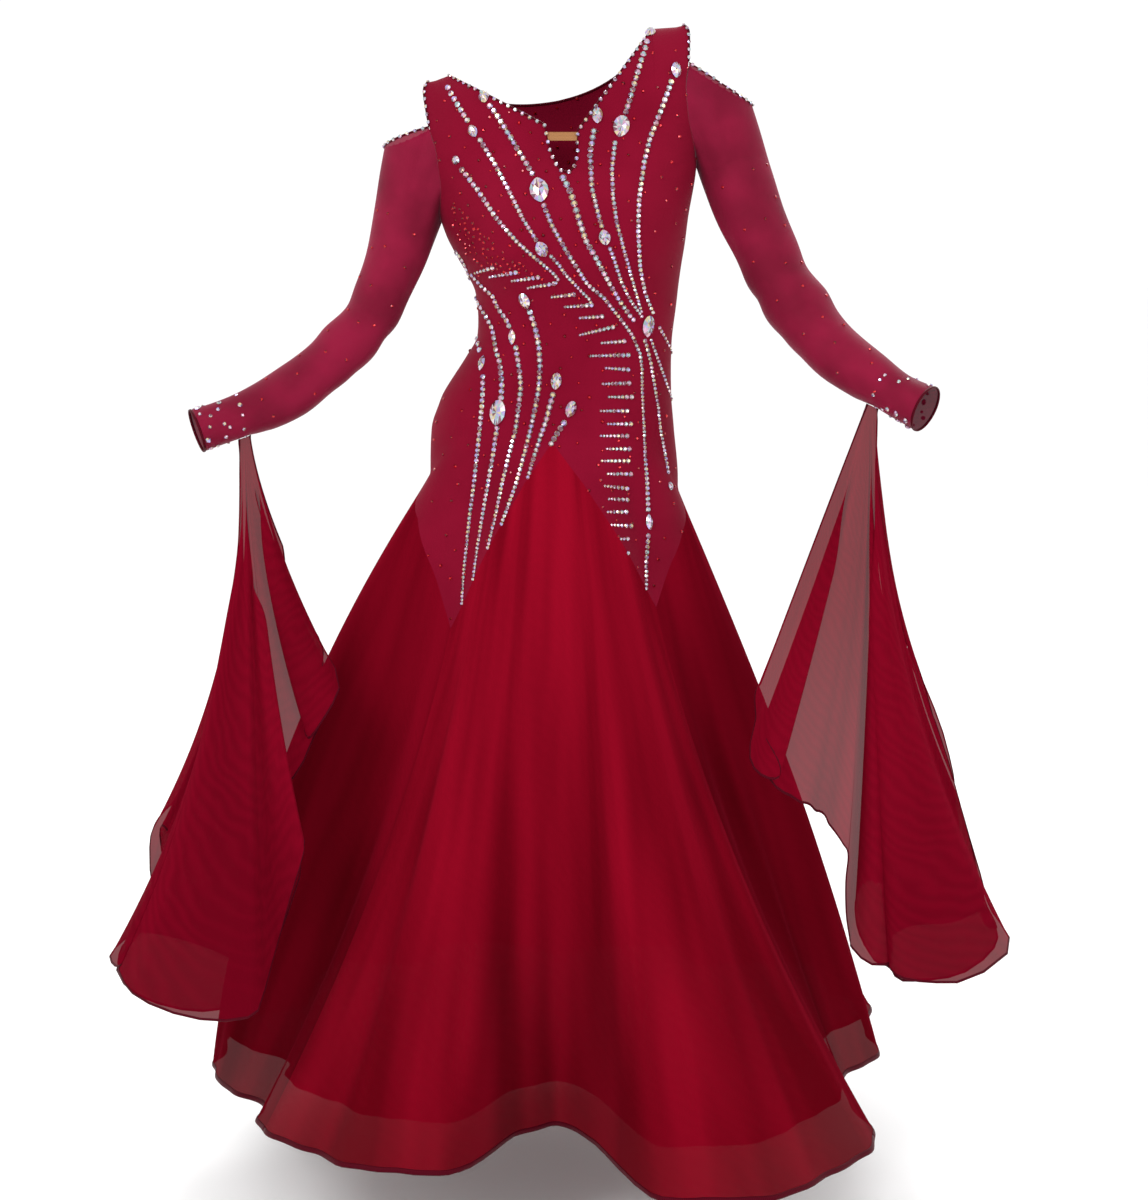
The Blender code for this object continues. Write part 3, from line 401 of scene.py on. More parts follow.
def back_top(turn):
    """Top of the back panel: the same straps and a shallow scoop between them."""
    base = turn - 180
    reach = STRAP_TURN_LEFT if base < 0 else -STRAP_TURN_RIGHT
    if abs(base) >= reach:
        return SHOULDER_TOP
    strap = torso_point(bent_turn(180 + math.copysign(reach, base), 1), SHOULDER_TOP)
    inward = math.sin(math.pi / 2 * (1 - abs(base) / reach))
    dip = BACK_NECK_DIP * inward ** BACK_NECK_ROUND
    return height_on_line(turn, lambda x: strap.z * x / strap.x * BACK_NECK_RISE - dip)


class Sleeve:
    """A tube along one arm: its first ring is the armhole seam and the open shoulder edge."""

    def __init__(self, arm, side, underarm_height):
        self.side, self.underarm_height = side, underarm_height
        lengths = lengths_along([Vector(row[:3]) for row in arm])
        shares = [(length / lengths[-1], *row) for length, row in zip(lengths, arm)]
        self.line = curves(ARM_COLUMNS, shares)
        marks = [row[0] for row in ARMHOLE if row[0] <= SEAM_TOP_SHARE]
        spread = Curve(range(len(marks)), marks)
        seam_shares = [spread(i / SEAM_STEPS) for i in range((len(marks) - 1) * SEAM_STEPS + 1)]
        self.seam = [("front", share) for share in reversed(seam_shares)]
        self.seam += [("back", share) for share in seam_shares[1:]]
        self.columns = list(range(len(self.seam) + SLEEVE_FREE_STEPS - 1))
        self.seam_starts = [self.level_with(self.armhole(*place)) for place in self.seam]
        self.seam_offsets = [self.seam_offset(index) for index in range(len(self.seam))]

    def middle(self, share):
        return Vector([self.line[name](share) for name in ("x", "y", "z")])

    def frame(self, share):
        ahead, behind = min(share + AXIS_STEP, 1), max(share - AXIS_STEP, 0)
        axis = (self.middle(ahead) - self.middle(behind)).normalized()
        front = Vector((0, -1, 0))
        front = (front - axis * front.dot(axis)).normalized()
        out = axis.cross(front) * -self.side
        return out, front

    def angle(self, column):
        """Angle round the arm, from its outer side over the front to the underside and back."""
        last = len(self.seam) - 1
        if column <= last:
            return mix(SLEEVE_SEAM_ANGLE, 360 - SLEEVE_SEAM_ANGLE, column / last)
        share = (column - last) / SLEEVE_FREE_STEPS
        return mix(360 - SLEEVE_SEAM_ANGLE, 360 + SLEEVE_SEAM_ANGLE, share)

    def folds(self, share, angle):
        lift = 0.0
        for place, centre, along, around, lean, height in SLEEVE_FOLDS:
            turn = (angle - centre - lean * (share - place) + 180) % 360 - 180
            lift += height * math.exp(-((share - place) / along) ** 2 - (turn / around) ** 2)
        return lift

    def tube(self, angle, share):
        out, front = self.frame(share)
        radius = self.line["radius"](share) + self.folds(share, angle)
        turn = math.radians(angle)
        return self.middle(share) + (out * math.cos(turn) + front * math.sin(turn)) * radius

    def armhole(self, which, share):
        turn = ARMHOLES["turn"](share) * self.side
        if which == "back":
            turn = 180 - turn
        return body_point(turn, mix(self.underarm_height, SHOULDER_TOP, share))

    def level_with(self, spot):
        """Share of the sleeve's length whose section is level with a point beside it."""
        near, step = LEVEL_START, LEVEL_STEP
        for _ in range(LEVEL_ROUNDS):
            shares = [max(near + step * count, 0.0)
                      for count in range(-LEVEL_REACH, LEVEL_REACH + 1)]
            near = min(shares, key=lambda share: (self.middle(share) - spot).length)
            step /= LEVEL_FINER
        return near

    def seam_offset(self, index):
        """How far the armhole seam lies from the plain tube, at one of its points."""
        tube = self.tube(self.angle(index), self.seam_starts[index])
        return self.armhole(*self.seam[index]) - tube

    def on_ring(self, column, values, middle, blend):
        """Value on the first ring: the seam's own, then eased to a middle one and back."""
        last = len(self.seam) - 1
        if column <= last:
            low = min(int(column), last - 1)
            return blend(values[low], values[low + 1], column - low)
        share = (column - last) / SLEEVE_FREE_STEPS
        ends = blend(values[last], values[0], share)
        return blend(ends, middle, math.sin(math.pi * share))

    def start(self, column):
        """Share of the arm's length where a line along the sleeve begins."""
        return self.on_ring(column, self.seam_starts, FREE_EDGE_START, mix)

    def point(self, column, row):
        """Point of the sleeve; row runs from its first ring, 0, to the cuff, 1."""
        blend = max(0.0, 1 - row / SLEEVE_BLEND) ** 2
        share = mix(self.start(column), 1, row)
        offset = self.on_ring(column, self.seam_offsets, Vector((0, 0, 0)), Vector.lerp)
        return self.tube(self.angle(column), share) + offset * blend

    def normal(self, column, row):
        count = len(self.columns)
        low, high = max(row - NORMAL_REACH, 0.0), min(row + NORMAL_REACH, 1.0)
        around = (self.point((column + NORMAL_STEP) % count, row)
                  - self.point((column - NORMAL_STEP) % count, row))
        along = self.point(column, high) - self.point(column, low)
        return around.cross(along).normalized() * self.side

    def column_at(self, angle):
        """Column whose line lies at an angle round the arm."""
        last = len(self.seam) - 1
        if angle >= SLEEVE_SEAM_ANGLE:
            return (angle - SLEEVE_SEAM_ANGLE) / (360 - 2 * SLEEVE_SEAM_ANGLE) * last
        return last + (angle + SLEEVE_SEAM_ANGLE) / (2 * SLEEVE_SEAM_ANGLE) * SLEEVE_FREE_STEPS

    def underside(self, share):
        """Point just under the sleeve, where a float hangs."""
        under = len(self.seam) // 2
        row = (share - self.start(under)) / (1 - self.start(under))
        return self.point(under, row) + self.normal(under, row) * SEAM_GAP * 2


# The photo's frame in pixels, metres for each pixel at the body, and the camera fitted to it.
PHOTO_WIDTH, PHOTO_HEIGHT = 1148, 1200
LENS, SENSOR = 68.46, 36.0
PHOTO_FOCAL = LENS / SENSOR * PHOTO_HEIGHT
PHOTO_SCALE = 0.00127
CAMERA_PLACE = Vector((0.023, -2.9, -0.17))
CAMERA_PITCH = -10.1
CAMERA_TURN = Euler((math.radians(90 + CAMERA_PITCH), 0, 0))
FLOOR_HEIGHT, FLOOR_REACH = -1.47, 30.0

CRIMSON = (0.172, 0.0030, 0.017)
CRIMSON_DEEP = (0.140, 0.0020, 0.013)
# Organza tones: the watered bands, painted streaks of light and painted shade towards the hem move
# the cloth between each light and dark pair.
ORGANZA_RED = (0.215, 0.0022, 0.012)
ORGANZA_DEEP = (0.085, 0.0008, 0.004)
# Darker copy of the organza tones for the side godets: painted shade, as the sides turn away from
# the light.
SHADED_SIDE_RED = (0.160, 0.0016, 0.009)
SHADED_SIDE_DEEP = (0.065, 0.0006, 0.003)
FLOAT_RED = (0.120, 0.0012, 0.008)
FLOAT_DEEP = (0.060, 0.0006, 0.004)
# Colour of the painted glow that stands for light through the organza.
PAINTED_GLOW_RED = (1.0, 0.010, 0.060, 1)
MESH_RED = (0.190, 0.0060, 0.028)
MESH_DEEP = (0.125, 0.0040, 0.018)
GLINT_RED = (1.0, 0.14, 0.22, 1)
EDGE_RED = (0.036, 0.0010, 0.004)
TAN = (0.300, 0.125, 0.030)
TAN_DEEP = (0.220, 0.085, 0.020)
RED_TINTS = {"facet_red": (0.600, 0.004, 0.012), "facet_dark_red": (0.120, 0.001, 0.006)}
FLOOR_GREY = (0.97, 0.97, 0.97)
WORLD_STRENGTH = 1.05
LIGHT_AIM = (0, 0, -0.6)
LIGHT_COLUMNS = ("place", "size", "power")
LIGHTS = {
    "key": ((-1.6, -2.6, 1.5), 1.6, 66),
    "fill": ((2.2, -2.2, 0.6), 2.0, 24),
    "rim": ((0.8, 2.6, 1.6), 1.5, 40),
}

THREAD_DEPTH = 0.0002
# Stretch cloths: two tones, patches of tone and threads for each metre, how many of the threads
# run across, and the values of the shader.
STRETCH_COLUMNS = ("light", "dark", "patches", "threads", "warp", "values")
STRETCHES = {
    "stretch_crepe": (CRIMSON, CRIMSON_DEEP, 9.0, 900, 0.7, {
        "Roughness": 0.78, "Specular IOR Level": 0.12, "Sheen Weight": 0.07,
        "Sheen Roughness": 0.45, "Sheen Tint": (0.80, 0.16, 0.26, 1)}),
    "stretch_mesh": (MESH_RED, MESH_DEEP, 14.0, 800, 1.0, {
        "Roughness": 0.62, "Alpha": 0.96, "Specular IOR Level": 0.20, "Sheen Weight": 0.12,
        "Sheen Roughness": 0.40, "Sheen Tint": (0.80, 0.30, 0.45, 1)}),
}

# Organza: opacity, strength of a painted red glow for light through it, its two tones, and the
# strength of its watered bands.
ORGANZA_COLUMNS = ("alpha", "through", "light", "dark", "bands")
ORGANZAS = {
    "skirt_organza": (0.98, 0.004, ORGANZA_RED, ORGANZA_DEEP, 0.03),
    # The side godets' organza: the same cloth in darker tones, painted shade.
    "shaded_side_organza": (0.98, 0.002, SHADED_SIDE_RED, SHADED_SIDE_DEEP, 0.03),
    "inner_organza": (0.98, 0.0, ORGANZA_RED, ORGANZA_DEEP, 0.03),
    "float_organza": (0.945, 0.065, FLOAT_RED, FLOAT_DEEP, 0.30),
}

# At scale 1 Blender's wave texture has this number over pi of bands for each unit.
WAVE_BANDS = 10
STITCH_SCALE, RIB_SCALE = 150.0, 190.0
LIGHTER_EDGE, DEEPER_FACET, PALER_FLOOR = 1.7, 0.72, 1.02
# Height from which painted shade darkens the skirt towards the hem and by how much, and the painted
# streaks of light down its folds.
SHADE_FROM, SHADE_SHARE = -0.80, 0.52
STREAK_SCALE, STREAK_SHARE = (15.0, 1.6, 1.0), 0.62
CLEAR_COAT, RED_COAT = 0.55, 0.1
# Facet colours of the clear stones, whose coating turns white light pink, gold, blue and lilac.
FACET_TINTS = (
    (0.70, 0.64, 0.64), (0.62, 0.36, 0.50), (0.66, 0.54, 0.30), (0.36, 0.50, 0.52),
    (0.44, 0.36, 0.68), (0.20, 0.07, 0.11),
)

# Steps of the fine cloth, in degrees of turn, in rows, and in steps for each fold of a float.
BODICE_STEP, NOTCH_STEP, GODET_STEP = 1.5, 0.23, 0.75
BODICE_ROWS, GODET_SHEET_ROWS, SLEEVE_SHEET_ROWS = 48, 84, 96
FLOAT_SHEET_ROWS, STEPS_PER_FOLD = 72, 16
UNDERSKIRT_HEM, UNDERSKIRT_CLEAR = -1.243, 0.0065
UNDERSKIRT_CLEAR_TOP, UNDERSKIRT_EASE = 0.001, 0.8

# Soft creases of the bodice, front view: middle, length, width, lean from upright, height.
BODICE_CREASES = (
    (0.150, -0.137, 0.030, 0.007, 58, -0.0022), (0.128, -0.146, 0.034, 0.009, 66, 0.0012),
    (-0.100, -0.168, 0.040, 0.012, -62, 0.0014), (-0.086, -0.345, 0.050, 0.010, 70, -0.0012),
    (0.118, -0.380, 0.046, 0.011, -64, -0.0012), (-0.100, -0.300, 0.050, 0.011, 58, 0.0012),
    (0.030, -0.352, 0.060, 0.014, 82, 0.0010), (-0.120, -0.455, 0.055, 0.013, -30, 0.0016),
    (0.124, -0.468, 0.052, 0.012, 26, 0.0016), (0.000, -0.262, 0.050, 0.015, 80, -0.0010),
)
CREASE_TOP = SHOULDER_START + 0.05

# Soft ridges down the skirt: hem turn in degrees, width, share where each sets in, and height.
SKIRT_CREASES = (
    (-172, 4.0, 0.30, 0.008), (-153, 3.0, 0.42, -0.007), (-133, 3.5, 0.34, 0.009),
    (-112, 3.0, 0.45, -0.008), (-96, 3.4, 0.30, 0.007), (-82, 2.4, 0.40, -0.006),
    (-70, 2.6, 0.22, 0.007), (-61, 2.2, 0.36, -0.006), (-52, 2.6, 0.18, 0.006),
    (-41, 2.4, 0.30, -0.006), (-35, 2.2, 0.16, 0.006), (-26, 2.2, 0.34, -0.005),
    (-18, 2.0, 0.20, 0.005), (-5, 3.0, 0.30, 0.006), (6, 2.6, 0.44, -0.006),
    (13, 2.0, 0.26, 0.005), (21, 2.4, 0.40, -0.006), (29, 2.4, 0.20, 0.007),
    (39, 2.8, 0.34, -0.007), (50, 2.4, 0.18, 0.007), (61, 2.6, 0.36, -0.006),
    (70, 2.2, 0.24, 0.006), (80, 2.4, 0.42, -0.006), (88, 2.4, 0.20, 0.006),
    (98, 3.0, 0.38, -0.008), (116, 3.6, 0.26, 0.008), (126, 3.0, 0.40, -0.008),
    (144, 3.6, 0.30, 0.009), (164, 3.4, 0.44, -0.008),
)
# How much wider they are at the top, how many widths they reach, and how softly they set in.
RIDGE_WIDER, RIDGE_REACH, RIDGE_EASE = 1.5, 3, 0.45

# Laps of the floats, where the cloth doubles back: middle and width in fold lines, shift along
# the hem in fold lines, depth, and the share by which the layer inside the lap is shorter.
FLOAT_LAPS = {
    "right": ((2.3, 2.2, 1.76, 0.009, 0.08), (4.5, 2.2, 1.76, -0.010, 0.12),
              (6.7, 2.2, 1.76, 0.010, 0.15), (11.2, 2.8, 1.90, -0.009, 0.12)),
    "left": ((1.5, 1.6, 0.90, 0.008, 0.08), (6.3, 2.4, 1.92, 0.009, 0.15),
             (8.7, 2.4, 1.92, -0.010, 0.10), (11.1, 2.4, 1.92, 0.010, 0.13),
             (13.2, 1.7, 1.10, -0.009, 0.16)),
}
LAP_MIDDLE, LAP_FROM, LAP_FULL = 0.24, 0.05, 0.45
FLOAT_GATHER, FACING_STEP = 0.6, 0.5
# Flutter of the floats near the hem: height, and the three numbers that make it uneven.
FLUTTER, FLUTTER_TURN, FLUTTER_SWAY, FLUTTER_SLOW = 0.0035, 5.3, 1.7, 2.1

# Crystal lines: first and last stone's size in millimetres, and places down the line.
STONE_LINES = {
    "side_breast": (8.0, 4.6, (
        (462, 170), (477, 189), (496, 218), (516, 241), (535, 258), (552, 272), (558, 279),
        (555, 285))),
    "strap_outer": (8.0, 4.6, (
        (448, 88), (456, 102), (464, 115), (482, 143), (496, 166), (508, 189), (523, 219),
        (536, 240), (559, 265), (565, 274), (581, 291), (590, 300), (591, 305))),
    "strap_inner": (8.0, 4.4, (
        (490, 106), (495, 112), (508, 133), (523, 158), (532, 173), (539, 190), (544, 206),
        (552, 226), (565, 249), (577, 268), (588, 285), (604, 298), (619, 317), (632, 335),
        (640, 354), (642, 369), (642, 388), (643, 407), (644, 428))),
    "hip_left": (4.6, 7.0, (
        (644, 428), (645, 455), (647, 484), (648, 510))),
    "hip_tail": (7.0, 4.2, (
        (648, 536), (646, 564), (646, 587), (648, 603))),
    "notch_point": (9.0, 4.4, (
        (563, 178), (571, 193), (579, 220), (586, 241), (596, 258), (607, 279), (619, 300),
        (630, 316), (640, 327), (646, 344), (650, 360), (654, 384), (658, 407), (660, 428))),
    "hip_side": (4.4, 6.0, (
        (660, 428), (664, 450), (668, 474))),
    "drop_first": (8.0, 4.4, (
        (595, 125), (590, 153), (592, 189), (599, 217), (605, 237), (613, 256), (621, 281),
        (630, 300), (640, 314), (646, 322))),
    "drop_second": (8.0, 4.4, (
        (647, 42), (638, 71), (629, 102), (615, 143), (612, 168), (613, 196), (617, 224),
        (624, 250), (633, 283), (642, 314))),
    "below_drop": (4.6, 5.4, (
        (651, 340), (659, 363), (667, 386), (673, 404), (676, 424))),
    "drop_third": (8.0, 4.2, (
        (671, 82), (661, 110), (650, 138), (644, 163), (639, 199), (638, 230), (640, 268),
        (645, 293), (650, 306), (659, 327), (671, 350), (673, 372), (674, 400))),
    "waist_long": (6.0, 8.0, (
        (457, 252), (464, 262), (471, 281), (477, 300), (485, 314), (493, 329), (496, 350),
        (500, 363), (502, 384), (501, 400))),
    "waist_tail": (7.0, 4.2, (
        (497, 428), (493, 455), (488, 484), (483, 514), (477, 552), (473, 581), (468, 608))),
    "waist_second": (6.0, 7.5, (
        (472, 275), (483, 287), (493, 296), (498, 308), (506, 319), (511, 330))),
    "second_tail": (7.5, 4.2, (
        (516, 348), (519, 367), (521, 386), (519, 404), (516, 428), (509, 455), (502, 484),
        (496, 514), (487, 552), (477, 583), (469, 608))),
    "belly_first": (8.0, 4.6, (
        (530, 312), (535, 327), (539, 346), (540, 367), (539, 386), (536, 404), (531, 428),
        (524, 455), (516, 484), (506, 512), (496, 539), (491, 560))),
    "belly_second": (8.0, 4.6, (
        (553, 395), (550, 405), (546, 421), (540, 438), (533, 460), (526, 484), (518, 502))),
    "belly_third": (8.0, 6.0, (
        (564, 423), (558, 432), (551, 444), (545, 456), (539, 468))),
    "side_top": (6.0, 8.0, (
        (475, 329), (477, 338), (480, 350))),
    "side_tail": (7.5, 4.2, (
        (483, 377), (483, 390), (482, 405), (480, 428), (477, 455), (474, 484), (470, 514),
        (467, 543), (463, 581), (461, 627))),
}
# Short ribs of stones that grow towards their right end: both ends.
STONE_RIBS = (
    (475, 273, 494, 267), (490, 277, 518, 272), (512, 281, 540, 277), (528, 288, 557, 283),
    (552, 297, 578, 294), (565, 307, 592, 305), (580, 318, 606, 316), (580, 335, 617, 326),
    (602, 343, 627, 341), (590, 356, 630, 355), (606, 368, 631, 370), (603, 384, 632, 383),
    (609, 397, 632, 397), (601, 411, 631, 411), (608, 424, 631, 424), (601, 436, 630, 436),
    (607, 449, 631, 449), (602, 461, 631, 461), (608, 474, 631, 474), (605, 486, 630, 489),
    (609, 499, 630, 500), (608, 512, 630, 512), (612, 525, 631, 526), (621, 539, 631, 539),
)
# Single pointed, drop and round stones beside the largest: place, length and width in
# millimetres, lean of the long side in degrees, kind.
STONE_SINGLES = (
    (456, 160, 10.5, 10.5, 0, "round"), (442, 78, 11, 11, 0, "round"),
    (473, 131, 16, 12, 32, "pointed"), (484, 97, 17, 13, 20, "drop"),
    (650, 33, 18, 13, -14, "drop"), (512, 337, 19, 10, 6, "pointed"),
    (482, 363, 20, 10, 2, "pointed"), (649, 522, 20, 10, 0, "pointed"),
    (670, 486, 11, 8, 0, "round"), (628, 553, 5, 5, 0, "round"), (457, 253, 8, 8, 0, "round"),
)
SINGLE_CLEAR_LENGTH = 9
# Shape of each of the largest stones, in the order of STONES.
BIG_STONE_KINDS = ("pointed", "drop", "drop", "drop", "drop", "drop", "pointed", "pointed",
                   "drop", "drop", "drop")
BIG_STONE_HEIGHT, BIG_STONE_CLEAR = 0.0048, 0.0006
SMALL_FACETS, BIG_FACETS, BIG_FROM, PEAK_RISE = 8, 14, 0.0095, 1.10
# Rings of a stone: share of its outline and of its height. Then how its outline is drawn in.
STONE_RINGS = ((0.92, 0.0), (1.0, 0.30), (0.56, 1.0))
POINTED_POWER, DROP_POWER = 0.45, 0.55
STONE_DEPTH_SHARE = 0.42
STONE_PITCH, CLEAR_SHARE, LARGEST_LEAN = 1.02, 0.9, 45
RIB_SIZES = (0.0036, 0.0066)
EDGE_STONE_SIZE, EDGE_STONE_PITCH = 0.0050, 0.0102
CUFF_STONES, CUFF_REACH, CUFF_THINNING, CUFF_MARGIN = 34, 0.11, 1.5, 0.012
CUFF_GAP, CUFF_POINTED_FROM, CUFF_POINTED_WIDTH = 0.002, 0.008, 0.75
CUFF_STONE_SIZES = (0.0042, 0.0050, 0.0046, 0.0060, 0.0042, 0.0085)
RED_STONE_SIZE = 0.0040
RED_STONE_COUNT, RED_STONE_CLEAR = 230, 14
RED_PATCH_COUNT, RED_PATCH_CLEAR = 230, 4.2
RED_ACROSS, RED_DOWN, RED_LINE_CLEAR = (428, 705), (50, 630), 7
RED_SIZE_SPREAD = (0.8, 1.15)
RED_TRIES, CUFF_TRIES = 30000, 4000
# Outline of the dense patch of red stones, from the side of the breast to its thickest end.
RED_PATCH = ((452, 196), (468, 214), (500, 250), (545, 280), (520, 276), (480, 268), (458, 240))
SLEEVE_STONE_ANGLES = (70, 118, 30)
SLEEVE_STONE_PITCH, SLEEVE_STONE_SPREAD, SLEEVE_STONE_SWAY = 0.104, (0.8, 1.3), 9
SLEEVE_STONE_START, SLEEVE_STONE_SHIFT, SLEEVE_STONE_END = 0.16, 0.0004, 0.9

# Millimetres in a metre, and the seeds of the random draws.
MM = 1000
LINE_SEED, RED_SEED, RED_PLACE_SEED, EDGE_SEED = 3, 11, 5, 31
TOP_SEED, CUFF_SEED, SLEEVE_SEED = 20, 40, 50

# Width and thickness of the hem bindings, the bound edges and the rolled edges.
HEM_BAND, HEM_THICK = 0.0065, 0.0022
EDGE_BAND, EDGE_THICK = 0.0034, 0.0020
ROLL_BAND, ROLL_THICK = 0.0030, 0.0020
BINDING_SIDES, WELD = 10, 1e-6
# Places just inside an edge, from which its binding knows the way into the cloth.
HEM_INSIDE, TOP_INSIDE, CUFF_INSIDE, NECK_INSIDE, FLOAT_INSIDE = 0.01, 0.02, 0.98, 1.97, 0.04
STRAP_EDGE_STEP = 0.02
# Shoulder edges of the bodice: turn of the edge and a turn just inside it.
STRAP_EDGES = {
    "strap_right_front_edge": (-90, -88), "strap_left_front_edge": (90, 88),
    "strap_left_back_edge": (90 + SIDE_NUDGE, 92),
    "strap_right_back_edge": (270 - SIDE_NUDGE, 268),
}
# Height above an edge, and place across it, that tell the outer side of the bodice's edges.
EDGE_ABOVE, EDGE_MIDDLE = 0.04, 0.01

# Turns between which each godet lies.
GODETS = {"godet_front": (-33, 33), "godet_left": (33, 147), "godet_back": (147, 213),
          "godet_right": (213, 327)}
# Side godets, which take the darker organza: painted shade on the sides.
SHADED_GODETS = ("godet_left", "godet_right")

# Flat cut of each sheet before it was worn or hung: widest width, length and area.
CUT_COLUMNS = ("sheet", "width", "length", "area", "held")
CUTS = (
    ("bodice_front_cloth", 0.50, 0.72, 0.200, "stretched"),
    ("bodice_back_cloth", 0.48, 0.70, 0.206, "stretched"),
    ("godet_front_cloth", 1.20, 0.86, 0.470, "hung"),
    ("godet_left_cloth", 0.92, 0.82, 0.324, "hung"),
    ("godet_back_cloth", 1.18, 0.86, 0.457, "hung"),
    ("godet_right_cloth", 1.02, 0.85, 0.367, "hung"),
    ("underskirt_cloth", 3.30, 0.80, 1.390, "hung"),
    ("sleeve_right_cloth", 0.27, 0.54, 0.092, "stretched"),
    ("sleeve_left_cloth", 0.29, 0.58, 0.106, "stretched"),
    ("float_right_cloth", 1.58, 0.78, 0.401, "hung"),
    ("float_left_cloth", 1.56, 0.80, 0.413, "hung"),
)


def cloth_sheet(name, point, columns, rows, material, tube=False):
    """A fine sheet through point(column, row), with its cloth coordinates in metres."""
    spots = [[point(column, row) for row in rows] for column in columns]
    if tube:
        spots[-1] = spots[0]
    across = lengths_along([column[len(rows) // 2] for column in spots])
    up = lengths_along(spots[len(columns) // 2])
    return grid_piece(name, spots, across, up, material, tube)


def grid_piece(name, spots, across, up, material, tube=False):
    """A mesh from Blender's grid, moved onto the spots, with across and up as its UV map."""
    skin = bmesh.new()
    tag = skin.verts.layers.int.new("place")
    threads = skin.loops.layers.uv.new("threads")
    columns, rows = len(spots), len(spots[0])
    bmesh.ops.create_grid(skin, x_segments=columns - 1, y_segments=rows - 1, size=1)
    for vert in skin.verts:
        column = round((vert.co.x + 1) / 2 * (columns - 1))
        row = round((vert.co.y + 1) / 2 * (rows - 1))
        vert[tag] = column * rows + row
        vert.co = spots[column][row]
    for face in skin.faces:
        face.smooth = True
        for loop in face.loops:
            loop[threads].uv = (across[loop.vert[tag] // rows], up[loop.vert[tag] % rows])
    if tube:
        bmesh.ops.remove_doubles(skin, verts=skin.verts, dist=WELD)
    return piece_from(name, skin, [material])


def piece_from(name, shape, materials):
    """A piece in the scene from a finished bmesh."""
    mesh = bpy.data.meshes.new(name)
    shape.to_mesh(mesh)
    shape.free()
    for material in materials:
        mesh.materials.append(material)
    piece = bpy.data.objects.new(name, mesh)
    bpy.context.scene.collection.objects.link(piece)
    return piece


def publish(piece, stands_for=None):
    """Let a piece ride on the body, and hide the solid that it stands for."""
    if stands_for:
        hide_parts(stands_for)
    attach(piece, "root")
    return piece


def bound_edge(name, edge, size, dark, closed=False):
    """A flat rounded binding along an edge, given as spots and the ways into the cloth."""
    spots, inward = edge
    wide, thick = size
    count = len(spots)
    turns = [2 * math.pi * side / BINDING_SIDES for side in range(BINDING_SIDES)]
    rings = []
    for i, (spot, way) in enumerate(zip(spots, inward)):
        before = spots[(i - 1) % count] if closed or i else spot
        after = spots[(i + 1) % count] if closed or i < count - 1 else spot
        facing = (after - before).cross(way).normalized()
        rings.append([spot + way * math.cos(turn) * wide / 2 + facing * math.sin(turn) * thick / 2
                      for turn in turns])
    if closed:
        rings.append(rings[0])
    sides = range(BINDING_SIDES + 1)
    wheel = [[ring[side % BINDING_SIDES] for ring in rings] for side in sides]
    across = [side * (wide + thick) / BINDING_SIDES for side in sides]
    up = lengths_along([ring[0] for ring in rings])
    piece = grid_piece(name, wheel, across, up, dark)
    smooth = bmesh.new()
    smooth.from_mesh(piece.data)
    bmesh.ops.remove_doubles(smooth, verts=smooth.verts, dist=WELD)
    bmesh.ops.holes_fill(smooth, edges=smooth.edges)
    bmesh.ops.recalc_face_normals(smooth, faces=smooth.faces)
    smooth.to_mesh(piece.data)
    smooth.free()
    return publish(piece)


def edge_of(point, path, inside):
    """Spots on an edge and the unit ways into the cloth, from matching places inside it."""
    spots = [point(*place) for place in path]
    ways = [(point(*place) - spot).normalized() for place, spot in zip(inside, spots)]
    return spots, ways


def steps(low, high, step):
    count = max(1, round((high - low) / step))
    return [mix(low, high, i / count) for i in range(count + 1)]


def crease_height(x, z):
    lift = 0.0
    for middle_x, middle_z, length, width, lean, height in BODICE_CREASES:
        turn = math.radians(lean)
        along = (z - middle_z) * math.cos(turn) + (x - middle_x) * math.sin(turn)
        beside = (x - middle_x) * math.cos(turn) - (z - middle_z) * math.sin(turn)
        lift += height * math.exp(-(along / length) ** 2 - (beside / width) ** 2)
    return lift


def skirt_crease(turn, height):
    """Radial height of the soft ridges at a place of the skirt."""
    turn = wrapped(turn)
    share = (SKIRT_START - height) / (SKIRT_START - HEM_HEIGHT)
    hem_turn = math.copysign(SPREADS["hem_turn"](abs(turn)), turn)
    lift = 0.0
    for middle, width, start, crease in SKIRT_CREASES:
        beside = abs(hem_turn - middle)
        beside = min(beside, 360 - beside) / (width * mix(RIDGE_WIDER, 1.0, share))
        if beside < RIDGE_REACH:
            set_in = soft_step(start, start + RIDGE_EASE, share)
            lift += crease * math.exp(-beside ** 2) * set_in
    return lift


def cloth_point(turn, height):
    """Body surface with its soft creases."""
    spot = body_point(turn, height)
    if height < SKIRT_START:
        way = Vector((spot.x, spot.y, 0)).normalized()
        return spot + way * skirt_crease(turn, height)
    if abs(wrapped(turn)) < 90 and height < CREASE_TOP:
        facing = outward_normal(body_point, turn, height, TURN_STEP, HEIGHT_STEP)
        return spot + facing * crease_height(spot.x, spot.z)
    return spot


@functools.lru_cache(maxsize=None)
def panel_top(turn):
    """Top of the bodice at a turn, kept because it is found by steps."""
    return front_top(turn) if abs(turn) <= 90 else back_top(turn)


def panel_point(turn, row):
    """Point of the bodice: row runs 0 to 1 up to the underarm, then 1 to 2 to the top."""
    if row <= 1:
        return cloth_point(turn, mix(lower_edge(turn), underarm(turn), row))
    height = mix(underarm(turn), panel_top(turn), row - 1)
    return cloth_point(bent_turn(turn, row - 1), height)


def godet_point(turn, row):
    return cloth_point(turn, mix(HEM_HEIGHT, lower_edge(turn), row))


def underskirt_point(turn, row):
    height = mix(UNDERSKIRT_HEM, lower_edge(turn), row)
    facing = outward_normal(body_point, turn, height, TURN_STEP, HEIGHT_STEP)
    clear = mix(UNDERSKIRT_CLEAR, UNDERSKIRT_CLEAR_TOP, soft_step(UNDERSKIRT_EASE, 1.0, row))
    return cloth_point(turn, height) - facing * clear


